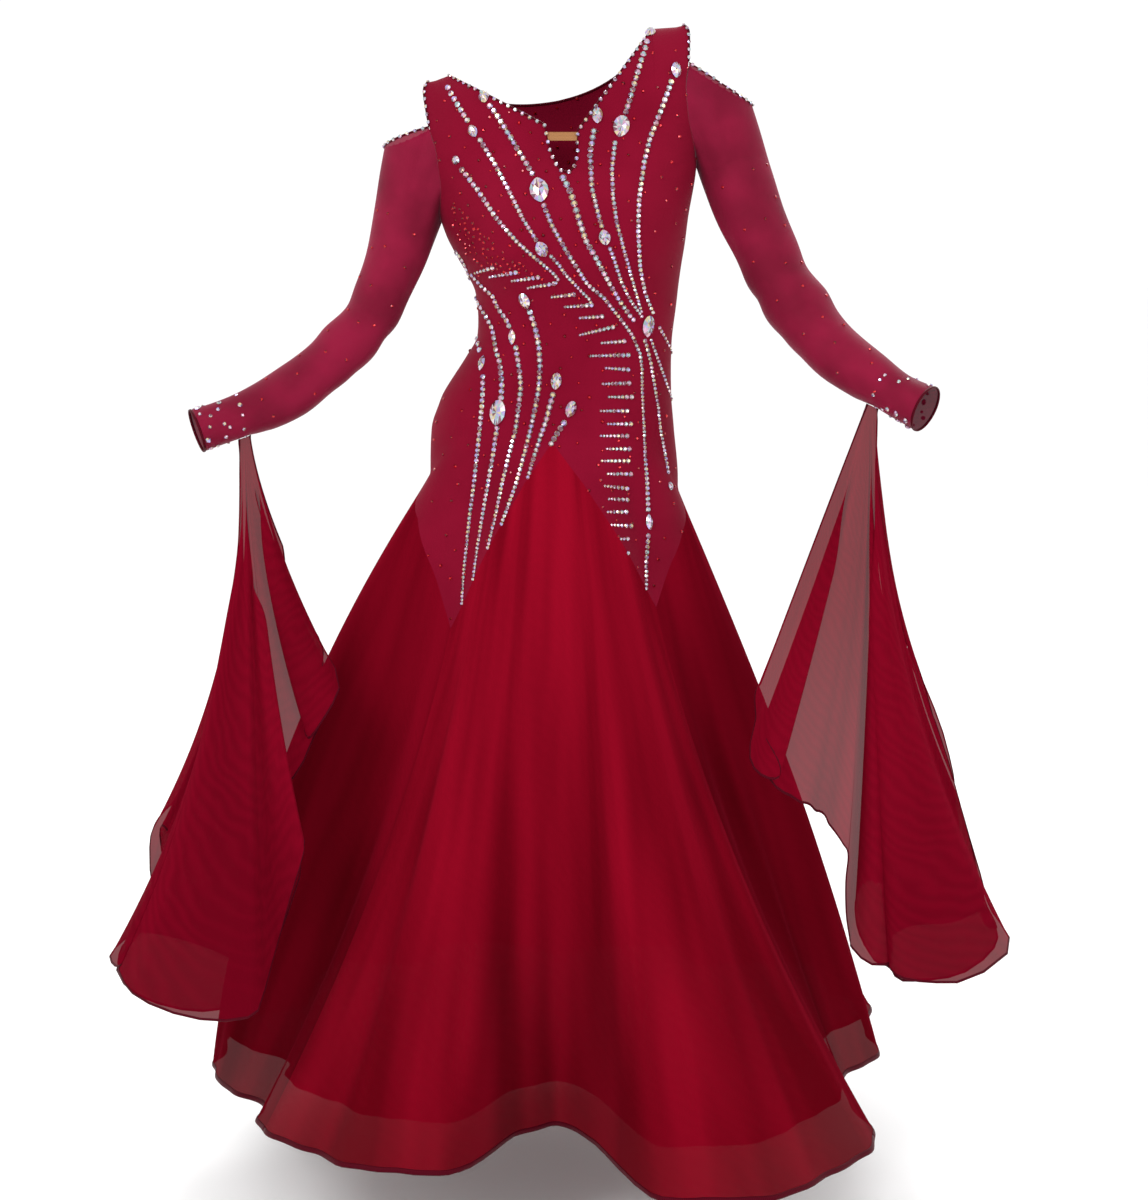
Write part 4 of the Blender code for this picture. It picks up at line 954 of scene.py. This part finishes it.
def lap_of(line, laps):
    """Shift along the hem, depth and shortening where the cloth doubles back on itself."""
    for middle, width, shift, depth, lift in laps:
        beside = (line - middle) / width
        if abs(beside) < 0.5:
            wave = -math.sin(2 * math.pi * beside)
            return shift * wave, depth * wave, lift * math.exp(-(beside / LAP_MIDDLE) ** 2)
    return 0.0, 0.0, 0.0


def float_surface(folds, laps, sleeve):
    """The float's surface: the fold lines of the solid, laps, and a flutter near its hem."""
    lines = curves(FLOAT_COLUMNS, [(line, *row) for line, row in enumerate(folds)])
    last = len(folds) - 1
    first, final = lines["start"](0), lines["start"](last)
    first_top = sleeve.underside(mix(first, final, FLOAT_GATHER / 2))
    last_top = sleeve.underside(mix(final, first, FLOAT_GATHER / 2))

    def on_fold(line, share):
        top = first_top.lerp(last_top, line / last)
        sideways = share ** lines["spread"](line)
        ahead = share ** FLOAT_DEPTH_SPREAD
        return Vector((mix(top.x, lines["x"](line), sideways),
                       mix(top.y, lines["y"](line), ahead),
                       mix(top.z, lines["z"](line), share)))

    def point(line, row):
        shift, depth, lift = lap_of(line, laps)
        share = (1 - row) * (1 - lift)
        set_in = soft_step(LAP_FROM, LAP_FULL, share)
        place = min(max(line + shift * set_in, 0.0), last)
        near, far = max(place - FACING_STEP, 0.0), min(place + FACING_STEP, last)
        across = on_fold(far, share) - on_fold(near, share)
        facing = Vector((across.y, -across.x, 0.0)).normalized()
        spot = on_fold(place, share) + facing * depth * set_in
        sway = FLUTTER_TURN * line + FLUTTER_SWAY * math.sin(FLUTTER_SLOW * line)
        flutter = FLUTTER * share ** 2 * math.sin(sway)
        return spot + facing * flutter + Vector((0, 0, abs(flutter)))

    return point


def fill_sockets(tree, node, values):
    """Values go on the node's inputs; a socket of another node is linked to its input."""
    for key, value in values.items():
        if isinstance(value, bpy.types.NodeSocket):
            tree.links.new(value, node.inputs[key])
        else:
            node.inputs[key].default_value = value


def new_material(name, colour, values):
    material = bpy.data.materials.new(name)
    material.use_nodes = True
    tree = material.node_tree
    shader = tree.nodes["Principled BSDF"]
    fill_sockets(tree, shader, {"Base Color": (*colour, 1), **values})
    return material, tree, shader


def add_node(tree, kind, values, output, **settings):
    """A new node's output socket, with its settings and inputs filled."""
    node = tree.nodes.new(kind)
    for key, value in settings.items():
        setattr(node, key, value)
    fill_sockets(tree, node, values)
    return node.outputs[output]


def cloth_place(tree):
    return add_node(tree, "ShaderNodeUVMap", {}, "UV", uv_map="threads")


def object_place(tree):
    return add_node(tree, "ShaderNodeTexCoord", {}, "Object")


def maths(tree, operation, first, second, clamp=False):
    return add_node(tree, "ShaderNodeMath", {0: first, 1: second}, "Value",
                    operation=operation, use_clamp=clamp)


def two_colours(tree, shader, factor, first, second):
    """Base colour between two colours by a factor socket."""
    blend = add_node(tree, "ShaderNodeMix",
                     {"Factor": factor, "A": (*first, 1), "B": (*second, 1)}, "Result",
                     data_type="RGBA")
    tree.links.new(blend, shader.inputs["Base Color"])


def threads_height(tree, per_metre, warp=1.0):
    """Crossed threads from the cloth coordinates, as one height value."""
    place = cloth_place(tree)
    waves = [add_node(tree, "ShaderNodeTexWave",
                      {"Vector": place, "Scale": count * math.pi / WAVE_BANDS}, "Fac",
                      wave_type="BANDS", bands_direction=way)
             for way, count in (("X", per_metre * warp), ("Y", per_metre))]
    return maths(tree, "ADD", *waves)


def bump(tree, shader, height, strength, distance):
    normal = add_node(tree, "ShaderNodeBump",
                      {"Height": height, "Strength": strength, "Distance": distance}, "Normal")
    tree.links.new(normal, shader.inputs["Normal"])


def noise_at(tree, place, scale, detail=3.0, low=0.35, high=0.65):
    """Noise at a place, with its values from low to high spread to the full range."""
    noise = add_node(tree, "ShaderNodeTexNoise",
                     {"Vector": place, "Scale": scale, "Detail": detail}, "Fac")
    return add_node(tree, "ShaderNodeMapRange",
                    {"Value": noise, "From Min": low, "From Max": high}, "Result")


def soft_noise(tree, scale):
    return noise_at(tree, object_place(tree), scale)


def painted_light_streaks(tree):
    """Noise drawn out down the cloth: painted streaks of light where its soft folds catch the
    light.
    """
    drawn = add_node(tree, "ShaderNodeMapping",
                     {"Vector": cloth_place(tree), "Scale": STREAK_SCALE}, "Vector")
    return noise_at(tree, drawn, 1.0, detail=2.0, low=0.36, high=0.64)


def hem_shade_share(tree):
    """How far down the skirt a place is, for the painted shade that darkens the cloth near the hem.
    """
    parts = add_node(tree, "ShaderNodeSeparateXYZ", {"Vector": object_place(tree)}, "Z")
    return add_node(tree, "ShaderNodeMapRange",
                    {"Value": parts, "From Min": SHADE_FROM, "From Max": HEM_HEIGHT,
                     "To Max": SHADE_SHARE}, "Result")


def organza(name):
    """Crisp sheer organza: faint watered bands, painted streaks of light, painted shade near the
    hem, and a painted red glow for light through it.
    """
    row = dict(zip(ORGANZA_COLUMNS, ORGANZAS[name]))
    material, tree, shader = new_material(name, row["light"], {
        "Roughness": 0.50, "Alpha": row["alpha"], "Specular IOR Level": 0.0, "Anisotropic": 0.5,
        # Painted glow: a faint red emission that stands for light through the sheet.
        "Emission Color": PAINTED_GLOW_RED, "Emission Strength": row["through"],
        "Sheen Weight": 0.09, "Sheen Roughness": 0.35, "Sheen Tint": (0.90, 0.06, 0.13, 1)})
    bands = add_node(tree, "ShaderNodeTexWave",
                     {"Vector": cloth_place(tree), "Scale": 34.0, "Distortion": 11.0,
                      "Detail": 2.5, "Detail Scale": 0.5}, "Fac",
                     wave_type="BANDS", bands_direction="DIAGONAL")
    faint = maths(tree, "MULTIPLY", bands, row["bands"])
    painted_streaks = maths(tree, "MULTIPLY", painted_light_streaks(tree), STREAK_SHARE)
    # Watered bands, painted streaks of light and painted shade towards the hem, added into one
    # tone.
    tone = maths(tree, "ADD", maths(tree, "ADD", faint, painted_streaks), hem_shade_share(tree), clamp=True)
    two_colours(tree, shader, tone, row["light"], row["dark"])
    bump(tree, shader, threads_height(tree, 700), 0.18, THREAD_DEPTH)
    return material


def stretch_cloth(name):
    """Matt crepe of the bodice or sheer mesh of the sleeves: a fine knit with a soft bloom."""
    row = dict(zip(STRETCH_COLUMNS, STRETCHES[name]))
    material, tree, shader = new_material(name, row["light"],
                                          {"Specular Tint": GLINT_RED, **row["values"]})
    two_colours(tree, shader, soft_noise(tree, row["patches"]), row["dark"], row["light"])
    bump(tree, shader, threads_height(tree, row["threads"], row["warp"]), 0.25, THREAD_DEPTH)
    return material


def binding():
    """Dark satin binding and rolled edges, with fine stitches across."""
    material, tree, shader = new_material("edge_binding", EDGE_RED, {
        "Roughness": 0.5, "Specular IOR Level": 0.15, "Specular Tint": GLINT_RED})
    stitches = add_node(tree, "ShaderNodeTexWave",
                        {"Vector": cloth_place(tree), "Scale": STITCH_SCALE}, "Fac",
                        bands_direction="Y")
    lighter = tuple(LIGHTER_EDGE * part for part in EDGE_RED)
    two_colours(tree, shader, stitches, EDGE_RED, lighter)
    bump(tree, shader, stitches, 0.3, 0.0003)
    return material


def elastic():
    """Tan elastic of the bridge, ribbed along its length."""
    material, tree, shader = new_material("tan_elastic", TAN, {"Roughness": 0.6})
    ribs = add_node(tree, "ShaderNodeTexWave",
                    {"Vector": object_place(tree), "Scale": RIB_SCALE}, "Fac",
                    bands_direction="Z")
    two_colours(tree, shader, ribs, TAN_DEEP, TAN)
    bump(tree, shader, ribs, 0.4, 0.0004)
    return material


def cut_glass(name, tint, coat):
    """One facet colour of the coated stones, a little uneven from stone to stone."""
    material, tree, shader = new_material(name, tint, {
        "Roughness": 0.07, "Metallic": 0.60, "IOR": 1.7, "Coat Weight": coat,
        "Coat Roughness": 0.03})
    deeper = tuple(DEEPER_FACET * part for part in tint)
    two_colours(tree, shader, soft_noise(tree, 120.0), deeper, tint)
    return material


def floor_material():
    material, tree, shader = new_material("pale_floor", FLOOR_GREY, {"Roughness": 0.9})
    paler = tuple(min(1.0, PALER_FLOOR * part) for part in FLOOR_GREY)
    two_colours(tree, shader, soft_noise(tree, 1.5), FLOOR_GREY, paler)
    return material


def outline_of(kind, count):
    """Girdle of a stone, one unit long and one wide each way: round, drop or pointed."""
    spots = []
    for i in range(count):
        angle = 2 * math.pi * i / count
        along, beside = math.cos(angle), math.sin(angle)
        if kind == "pointed":
            beside *= abs(beside) ** POINTED_POWER
        elif kind == "drop" and along <= 0:
            beside *= abs(beside) ** DROP_POWER
        spots.append((along, beside))
    return spots


def lean_way(lean):
    turn = math.radians(lean)
    return Vector((-math.sin(turn), 0, math.cos(turn)))


class Stones:
    """Many faceted stones joined in one mesh, each facet in one of the tints."""

    def __init__(self, name, tints, seed):
        self.name, self.tints = name, tints
        self.mesh = bmesh.new()
        self.luck = random.Random(seed)

    def add(self, spot, facing, along, length, width, kind="round", height=None):
        """A stone on the cloth: girdle, crown facets, and a table that is cut in the large ones."""
        height = height or width * STONE_DEPTH_SHARE
        along = (along - facing * along.dot(facing)).normalized()
        beside = facing.cross(along)
        count = SMALL_FACETS if max(length, width) < BIG_FROM else BIG_FACETS
        outline = outline_of(kind, count)
        rings = [[self.mesh.verts.new(
            spot + along * (x * share * length / 2) + beside * (y * share * width / 2)
            + facing * (rise * height)) for x, y in outline] for share, rise in STONE_RINGS]
        faces = []
        for low, high in zip(rings, rings[1:]):
            for i in range(count):
                j = (i + 1) % count
                faces.append(self.mesh.faces.new((low[i], low[j], high[j])))
                faces.append(self.mesh.faces.new((low[i], high[j], high[i])))
        top = rings[-1]
        if count == BIG_FACETS:
            peak = self.mesh.verts.new(spot + facing * PEAK_RISE * height)
            faces += [self.mesh.faces.new((near, far, peak))
                      for near, far in zip(top, top[1:] + top[:1])]
        else:
            faces.append(self.mesh.faces.new(top))
        for face in faces:
            face.material_index = self.luck.randrange(len(self.tints))

    def add_round(self, spot, facing, size):
        """A round stone turned by chance."""
        self.add(spot, facing, lean_way(self.luck.uniform(0, LARGEST_LEAN)), size, size)

    def build(self, stands_for=None):
        bmesh.ops.recalc_face_normals(self.mesh, faces=self.mesh.faces)
        return publish(piece_from(self.name, self.mesh, self.tints), stands_for)


def wall_of(pieces):
    """Search tree over the outer faces of some pieces."""
    spots, faces = [], []
    for piece in pieces:
        base = len(spots)
        spots += [vert.co.copy() for vert in piece.data.vertices]
        faces += [[base + i for i in face.vertices] for face in piece.data.polygons]
    return BVHTree.FromPolygons(spots, faces)


def photo_cast(wall, across, down):
    """Where a place of the photo lies on a wall, and which way the wall faces there."""
    way = Vector(((across - PHOTO_WIDTH / 2) / PHOTO_FOCAL,
                  (PHOTO_HEIGHT / 2 - down) / PHOTO_FOCAL, -1.0))
    way.rotate(CAMERA_TURN)
    spot, facing, _, _ = wall.ray_cast(CAMERA_PLACE, way.normalized())
    if spot is None:
        return None, None
    return spot, facing if facing.dot(way) < 0 else -facing


def along_photo_line(places, sizes):
    """Places and sizes of stones set edge to edge along a line of the photo."""
    spans = [math.dist(a, b) for a, b in zip(places, places[1:])]
    total = sum(spans)
    travelled = 0.0
    while travelled <= total:
        left, index = travelled, 0
        while index < len(spans) - 1 and left > spans[index]:
            left -= spans[index]
            index += 1
        share = min(left / spans[index], 1.0)
        (a, b), (c, d) = places[index], places[index + 1]
        size = mix(sizes[0], sizes[1], travelled / total)
        yield mix(a, c, share), mix(b, d, share), size
        travelled += size * STONE_PITCH / PHOTO_SCALE


def crystal_lines(wall, tints):
    """The single stones, the lines round them and the largest stones, and the short ribs."""
    stones = Stones("crystal_lines", tints, LINE_SEED)
    taken = [(x, z, length / 2) for x, z, length, _, _ in STONES]
    for across, down, length, width, lean, kind in STONE_SINGLES:
        spot, facing = photo_cast(wall, across, down)
        if spot is None:
            continue
        stones.add(spot, facing, lean_way(lean), length / MM, width / MM, kind)
        if length > SINGLE_CLEAR_LENGTH:
            taken.append((spot.x, spot.z, length / MM / 2))

    def free(spot, size):
        return all(math.hypot(spot.x - x, spot.z - z) > reach * CLEAR_SHARE + size / 2
                   for x, z, reach in taken)

    for first, last, places in STONE_LINES.values():
        for across, down, size in along_photo_line(places, (first / MM, last / MM)):
            spot, facing = photo_cast(wall, across, down)
            if spot is not None and free(spot, size):
                stones.add_round(spot, facing, size)
    for left, left_down, right, right_down in STONE_RIBS:
        places = ((left, left_down), (right, right_down))
        for across, down, size in along_photo_line(places, RIB_SIZES):
            spot, facing = photo_cast(wall, across, down)
            if spot is not None:
                stones.add_round(spot, facing, size)
    stones.build()


def big_stones(wall, tints):
    """The largest stones, one piece for each solid."""
    for number, (row, kind) in enumerate(zip(STONES, BIG_STONE_KINDS), 1):
        x, z, length, width, lean = row
        spot, facing, _, _ = wall.ray_cast(Vector((x, -1, z)), Vector((0, 1, 0)))
        jewel = Stones(f"big_stone_{number:02d}", tints, number)
        jewel.add(spot + facing * BIG_STONE_CLEAR, facing, lean_way(lean), length, width, kind,
                  BIG_STONE_HEIGHT)
        jewel.build(f"stone_{number:02d}")


def inside_outline(place, outline):
    x, y = place
    inside = False
    for (ax, ay), (bx, by) in zip(outline, outline[1:] + outline[:1]):
        if (ay > y) != (by > y) and x < (bx - ax) * (y - ay) / (by - ay) + ax:
            inside = not inside
    return inside


def red_stones(wall, tints):
    """Small dark red stones: spread over the bodice, and dense under the right breast."""
    scatter = Stones("red_stones", tints, RED_SEED)
    luck = random.Random(RED_PLACE_SEED)
    line_places = [place for _, _, places in STONE_LINES.values() for place in places]
    spread, dense = [], []
    for _ in range(RED_TRIES):
        if len(spread) >= RED_STONE_COUNT and len(dense) >= RED_PATCH_COUNT:
            break
        place = (luck.uniform(*RED_ACROSS), luck.uniform(*RED_DOWN))
        chosen, clear, limit = spread, RED_STONE_CLEAR, RED_STONE_COUNT
        if inside_outline(place, RED_PATCH):
            chosen, clear, limit = dense, RED_PATCH_CLEAR, RED_PATCH_COUNT
        if len(chosen) >= limit or any(math.dist(place, near) < clear for near in chosen):
            continue
        if any(math.dist(place, near) < RED_LINE_CLEAR for near in line_places):
            continue
        spot, facing = photo_cast(wall, *place)
        if spot is None:
            continue
        chosen.append(place)
        size = RED_STONE_SIZE * luck.uniform(*RED_SIZE_SPREAD)
        scatter.add(spot, facing, lean_way(luck.uniform(0, LARGEST_LEAN)), size, size)
    scatter.build()


def stones_along(stones, spots, faces):
    """Equal stones along an edge, at a steady pitch."""
    travelled, due = 0.0, EDGE_STONE_PITCH / 2
    for i in range(len(spots) - 1):
        span = (spots[i + 1] - spots[i]).length
        while span > 0 and due <= travelled + span:
            share = (due - travelled) / span
            spot = spots[i].lerp(spots[i + 1], share)
            facing = faces[i].lerp(faces[i + 1], share).normalized()
            stones.add(spot, facing, spots[i + 1] - spots[i], EDGE_STONE_SIZE, EDGE_STONE_SIZE)
            due += EDGE_STONE_PITCH
        travelled += span


def build_bodice():
    """Front and back panels as fine cloth."""
    crepe = stretch_cloth("stretch_crepe")
    side = sorted(set(steps(NOTCH_TURN, 90, BODICE_STEP)) | {-STRAP_TURN_RIGHT, STRAP_TURN_LEFT})
    notch = steps(-NOTCH_TURN, NOTCH_TURN, NOTCH_STEP)
    front_turns = [-turn for turn in reversed(side[1:])] + notch + side[1:]
    back_turns = steps(90 + SIDE_NUDGE, 270 - SIDE_NUDGE, BODICE_STEP)
    rows = steps(0, 2, 1 / BODICE_ROWS)
    for name, turns in (("bodice_front", front_turns), ("bodice_back", back_turns)):
        panel = cloth_sheet(name + "_cloth", panel_point, turns, rows, crepe)
        SHEETS[panel.name] = (publish(panel, name), [])


def build_layer(name, point, turns, fabric, dark, tube=False):
    """One sheet of the skirt with its bound hem."""
    rows = steps(0, 1, 1 / GODET_SHEET_ROWS)
    sheet = cloth_sheet(name + "_cloth", point, turns, rows, fabric, tube)
    publish(sheet, name)
    along = turns[:-1] if tube else turns
    edge = edge_of(point, [(turn, 0) for turn in along], [(turn, HEM_INSIDE) for turn in along])
    hem = bound_edge(name + "_hem", edge, (HEM_BAND, HEM_THICK), dark, closed=tube)
    SHEETS[sheet.name] = (sheet, [hem])


def build_skirt(dark):
    """Four godets with bound hems, and the shorter inner layer with its own."""
    outer_cloth, shaded_side_cloth = organza("skirt_organza"), organza("shaded_side_organza")
    edge_turns = {turn for turn, _ in BODICE_EDGE}
    for name, (low, high) in GODETS.items():
        turns = sorted(set(steps(low, high, GODET_STEP))
                       | {turn for turn in edge_turns if low < turn < high}
                       | {turn + 360 for turn in edge_turns if low < turn + 360 < high})
        # The side godets get the darker copy of the organza, painted shade.
        fabric = shaded_side_cloth if name in SHADED_GODETS else outer_cloth
        build_layer(name, godet_point, turns, fabric, dark)
    build_layer("underskirt", underskirt_point, steps(-180, 180, GODET_STEP),
                organza("inner_organza"), dark, tube=True)


def build_sleeve(label, side, sleeve, mesh_cloth, dark, tints):
    """A sleeve with its bound top and cuff, and the stones on its open shoulder edge."""
    wheel = (sleeve.columns + [0])[::side]
    rows = steps(SLEEVE_SEAM_ROW, 1, 1 / SLEEVE_SHEET_ROWS)
    name = f"sleeve_{label}"
    tube = cloth_sheet(name + "_cloth", sleeve.point, wheel, rows, mesh_cloth, tube=True)
    publish(tube, name)
    free = list(range(len(sleeve.seam) - 1, len(sleeve.columns))) + [0]
    top = edge_of(sleeve.point, [(column, SLEEVE_SEAM_ROW) for column in free],
                  [(column, TOP_INSIDE) for column in free])
    cuff = edge_of(sleeve.point, [(column, 1) for column in sleeve.columns],
                   [(column, CUFF_INSIDE) for column in sleeve.columns])
    size = (EDGE_BAND, EDGE_THICK)
    top_edge = bound_edge(name + "_top_edge", top, size, dark)
    jewels = Stones(name + "_top_stones", tints, TOP_SEED + side)
    faces = [sleeve.normal(column, TOP_INSIDE) for column in free]
    lifted = [spot + facing * EDGE_THICK / 2 for spot, facing in zip(top[0], faces)]
    stones_along(jewels, lifted, faces)
    jewels.build()
    cuff_edge = bound_edge(name + "_cuff_edge", cuff, size, dark, closed=True)
    SHEETS[tube.name] = (tube, [top_edge, cuff_edge])


def build_arms(dark, tints, red_tints):
    """Sleeves with bound ends and stones, and the floats under the cuffs."""
    mesh_cloth, float_cloth = stretch_cloth("stretch_mesh"), organza("float_organza")
    for side, label, arm, low, folds in ((-1, "right", ARM_RIGHT, UNDERARM_RIGHT, FLOAT_RIGHT),
                                         (1, "left", ARM_LEFT, UNDERARM_LEFT, FLOAT_LEFT)):
        sleeve = Sleeve(arm, side, low)
        build_sleeve(label, side, sleeve, mesh_cloth, dark, tints)
        cuff_stones(sleeve, label, tints, CUFF_SEED + side)
        sleeve_stones(sleeve, label, red_tints, SLEEVE_SEED + side)
        build_float(label, folds, sleeve, float_cloth, dark)


def cuff_stones(sleeve, label, tints, seed):
    """Mixed stones strewn round the cuff, thinning out up the arm."""
    jewels = Stones(f"cuff_{label}_stones", tints, seed)
    luck = random.Random(seed)
    placed = []
    count = len(sleeve.columns)
    for _ in range(CUFF_TRIES):
        if len(placed) >= CUFF_STONES:
            break
        column = luck.uniform(0, count)
        row = 1 - CUFF_REACH * luck.random() ** CUFF_THINNING - CUFF_MARGIN
        spot = sleeve.point(column % count, row)
        size = luck.choice(CUFF_STONE_SIZES)
        if any((spot - near).length < 0.5 * (size + far) + CUFF_GAP for near, far in placed):
            continue
        placed.append((spot, size))
        facing = sleeve.normal(column % count, row)
        kind, width = "round", size
        if size > CUFF_POINTED_FROM:
            kind, width = "pointed", size * CUFF_POINTED_WIDTH
        jewels.add(spot, facing, lean_way(luck.uniform(-90, 90)), size, width, kind)
    jewels.build()


def sleeve_stones(sleeve, label, tints, seed):
    """A few small red stones in rows down the arm."""
    jewels = Stones(f"sleeve_{label}_red_stones", tints, seed)
    for angle in SLEEVE_STONE_ANGLES:
        reach = SLEEVE_STONE_START + SLEEVE_STONE_SHIFT * angle
        while reach < SLEEVE_STONE_END:
            sway = jewels.luck.uniform(-SLEEVE_STONE_SWAY, SLEEVE_STONE_SWAY)
            column = sleeve.column_at(angle + sway)
            spot, facing = sleeve.point(column, reach), sleeve.normal(column, reach)
            jewels.add(spot, facing, Vector((0, 0, 1)), RED_STONE_SIZE, RED_STONE_SIZE)
            reach += SLEEVE_STONE_PITCH * jewels.luck.uniform(*SLEEVE_STONE_SPREAD)
    jewels.build()


def build_float(label, folds, sleeve, cloth, dark):
    """A float with the rolled edge along its two sides and its hem."""
    point = float_surface(folds, FLOAT_LAPS[label], sleeve)
    last = len(folds) - 1
    lines = steps(0, last, 1 / STEPS_PER_FOLD)
    rows = steps(0, 1, 1 / FLOAT_SHEET_ROWS)
    sheet = cloth_sheet(f"float_{label}_cloth", point, lines, rows, cloth)
    publish(sheet, f"float_{label}")
    path = [(0, row) for row in reversed(rows)] + [(line, 0) for line in lines[1:]]
    path += [(last, row) for row in rows[1:]]
    inside = [(FLOAT_INSIDE, row) for row in reversed(rows)]
    inside += [(line, HEM_INSIDE) for line in lines[1:]]
    inside += [(last - FLOAT_INSIDE, row) for row in rows[1:]]
    edge = bound_edge(f"float_{label}_edge", edge_of(point, path, inside),
                      (ROLL_BAND, ROLL_THICK), dark)
    SHEETS[sheet.name] = (sheet, [edge])


def build_bodice_edges(dark, tints):
    """Dark bound neck and shoulder edges with their stones."""
    neck = steps(STRAP_TURN_RIGHT, -NOTCH_TURN, BODICE_STEP)
    neck += steps(-NOTCH_TURN, NOTCH_TURN, NOTCH_STEP)[1:-1]
    neck += steps(NOTCH_TURN, STRAP_TURN_LEFT, BODICE_STEP)
    back_neck = steps(180 - STRAP_TURN_LEFT, 180 - STRAP_TURN_RIGHT, BODICE_STEP)
    arm_rows = steps(1 + SEAM_TOP_SHARE, 2, STRAP_EDGE_STEP)
    sides = {name: ([(turn, 2) for turn in turns], [(turn, NECK_INSIDE) for turn in turns])
             for name, turns in (("neck_front_edge", neck), ("neck_back_edge", back_neck))}
    for name, (turn, inner) in STRAP_EDGES.items():
        sides[name] = ([(turn, row) for row in arm_rows], [(inner, row) for row in arm_rows])
    jewels = Stones("edge_stones", tints, EDGE_SEED)
    for name, (path, inside) in sides.items():
        spots, ways = edge_of(panel_point, path, inside)
        bound_edge(name, (spots, ways), (EDGE_BAND, EDGE_THICK), dark)
        faces = []
        for i, way in enumerate(ways):
            tangent = spots[min(i + 1, len(spots) - 1)] - spots[max(i - 1, 0)]
            facing = tangent.cross(way).normalized()
            outward = spots[i] - Vector((EDGE_MIDDLE, 0, spots[i].z - EDGE_ABOVE))
            faces.append(facing if facing.dot(outward) > 0 else -facing)
        seats = [spot + way * EDGE_BAND / 3 + facing * EDGE_THICK / 2
                 for spot, way, facing in zip(spots, ways, faces)]
        stones_along(jewels, seats, faces)
    jewels.build()


def studio():
    """Camera at the photo's place, pale floor, and soft light."""
    scene = bpy.context.scene
    lens = bpy.data.cameras.new("photo_camera")
    lens.lens, lens.sensor_width, lens.sensor_fit = LENS, SENSOR, "AUTO"
    camera = bpy.data.objects.new("photo_camera", lens)
    camera.location, camera.rotation_euler = CAMERA_PLACE, CAMERA_TURN
    scene.collection.objects.link(camera)
    scene.camera = camera
    sheet = bmesh.new()
    bmesh.ops.create_grid(sheet, x_segments=1, y_segments=1, size=FLOOR_REACH)
    floor = piece_from("studio_floor", sheet, [floor_material()])
    floor.location.z = FLOOR_HEIGHT
    scene.world = bpy.data.worlds.new("pale_studio")
    scene.world.use_nodes = True
    fill_sockets(scene.world.node_tree, scene.world.node_tree.nodes["Background"],
                 {"Color": (1, 1, 1, 1), "Strength": WORLD_STRENGTH})
    scene.view_settings.view_transform = "Standard"
    for name, row in LIGHTS.items():
        values = dict(zip(LIGHT_COLUMNS, row))
        lamp = bpy.data.lights.new(name, "AREA")
        lamp.shape, lamp.size, lamp.energy = "DISK", values["size"], values["power"]
        light = bpy.data.objects.new(name, lamp)
        light.location = values["place"]
        aim = Vector(LIGHT_AIM) - Vector(values["place"])
        light.rotation_euler = aim.to_track_quat("-Z", "Y").to_euler()
        scene.collection.objects.link(light)


def declare_sheets():
    for row in CUTS:
        cut = dict(zip(CUT_COLUMNS, row))
        piece, trims = SHEETS[cut["sheet"]]
        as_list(trims)


def dress():
    dark = binding()
    tints = [cut_glass(f"facet_{i}", tint, CLEAR_COAT) for i, tint in enumerate(FACET_TINTS)]
    red_tints = [cut_glass(name, tint, RED_COAT) for name, tint in RED_TINTS.items()]
    build_bodice()
    wall = wall_of([panel for panel, _ in SHEETS.values()])
    build_skirt(dark)
    build_arms(dark, tints, red_tints)
    build_bodice_edges(dark, tints)
    crystal_lines(wall, tints)
    big_stones(wall, tints)
    red_stones(wall, red_tints)
    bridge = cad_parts["neck_bridge"]
    bridge.data.materials.clear()
    bridge.data.materials.append(elastic())
    declare_sheets()


studio()
dress()
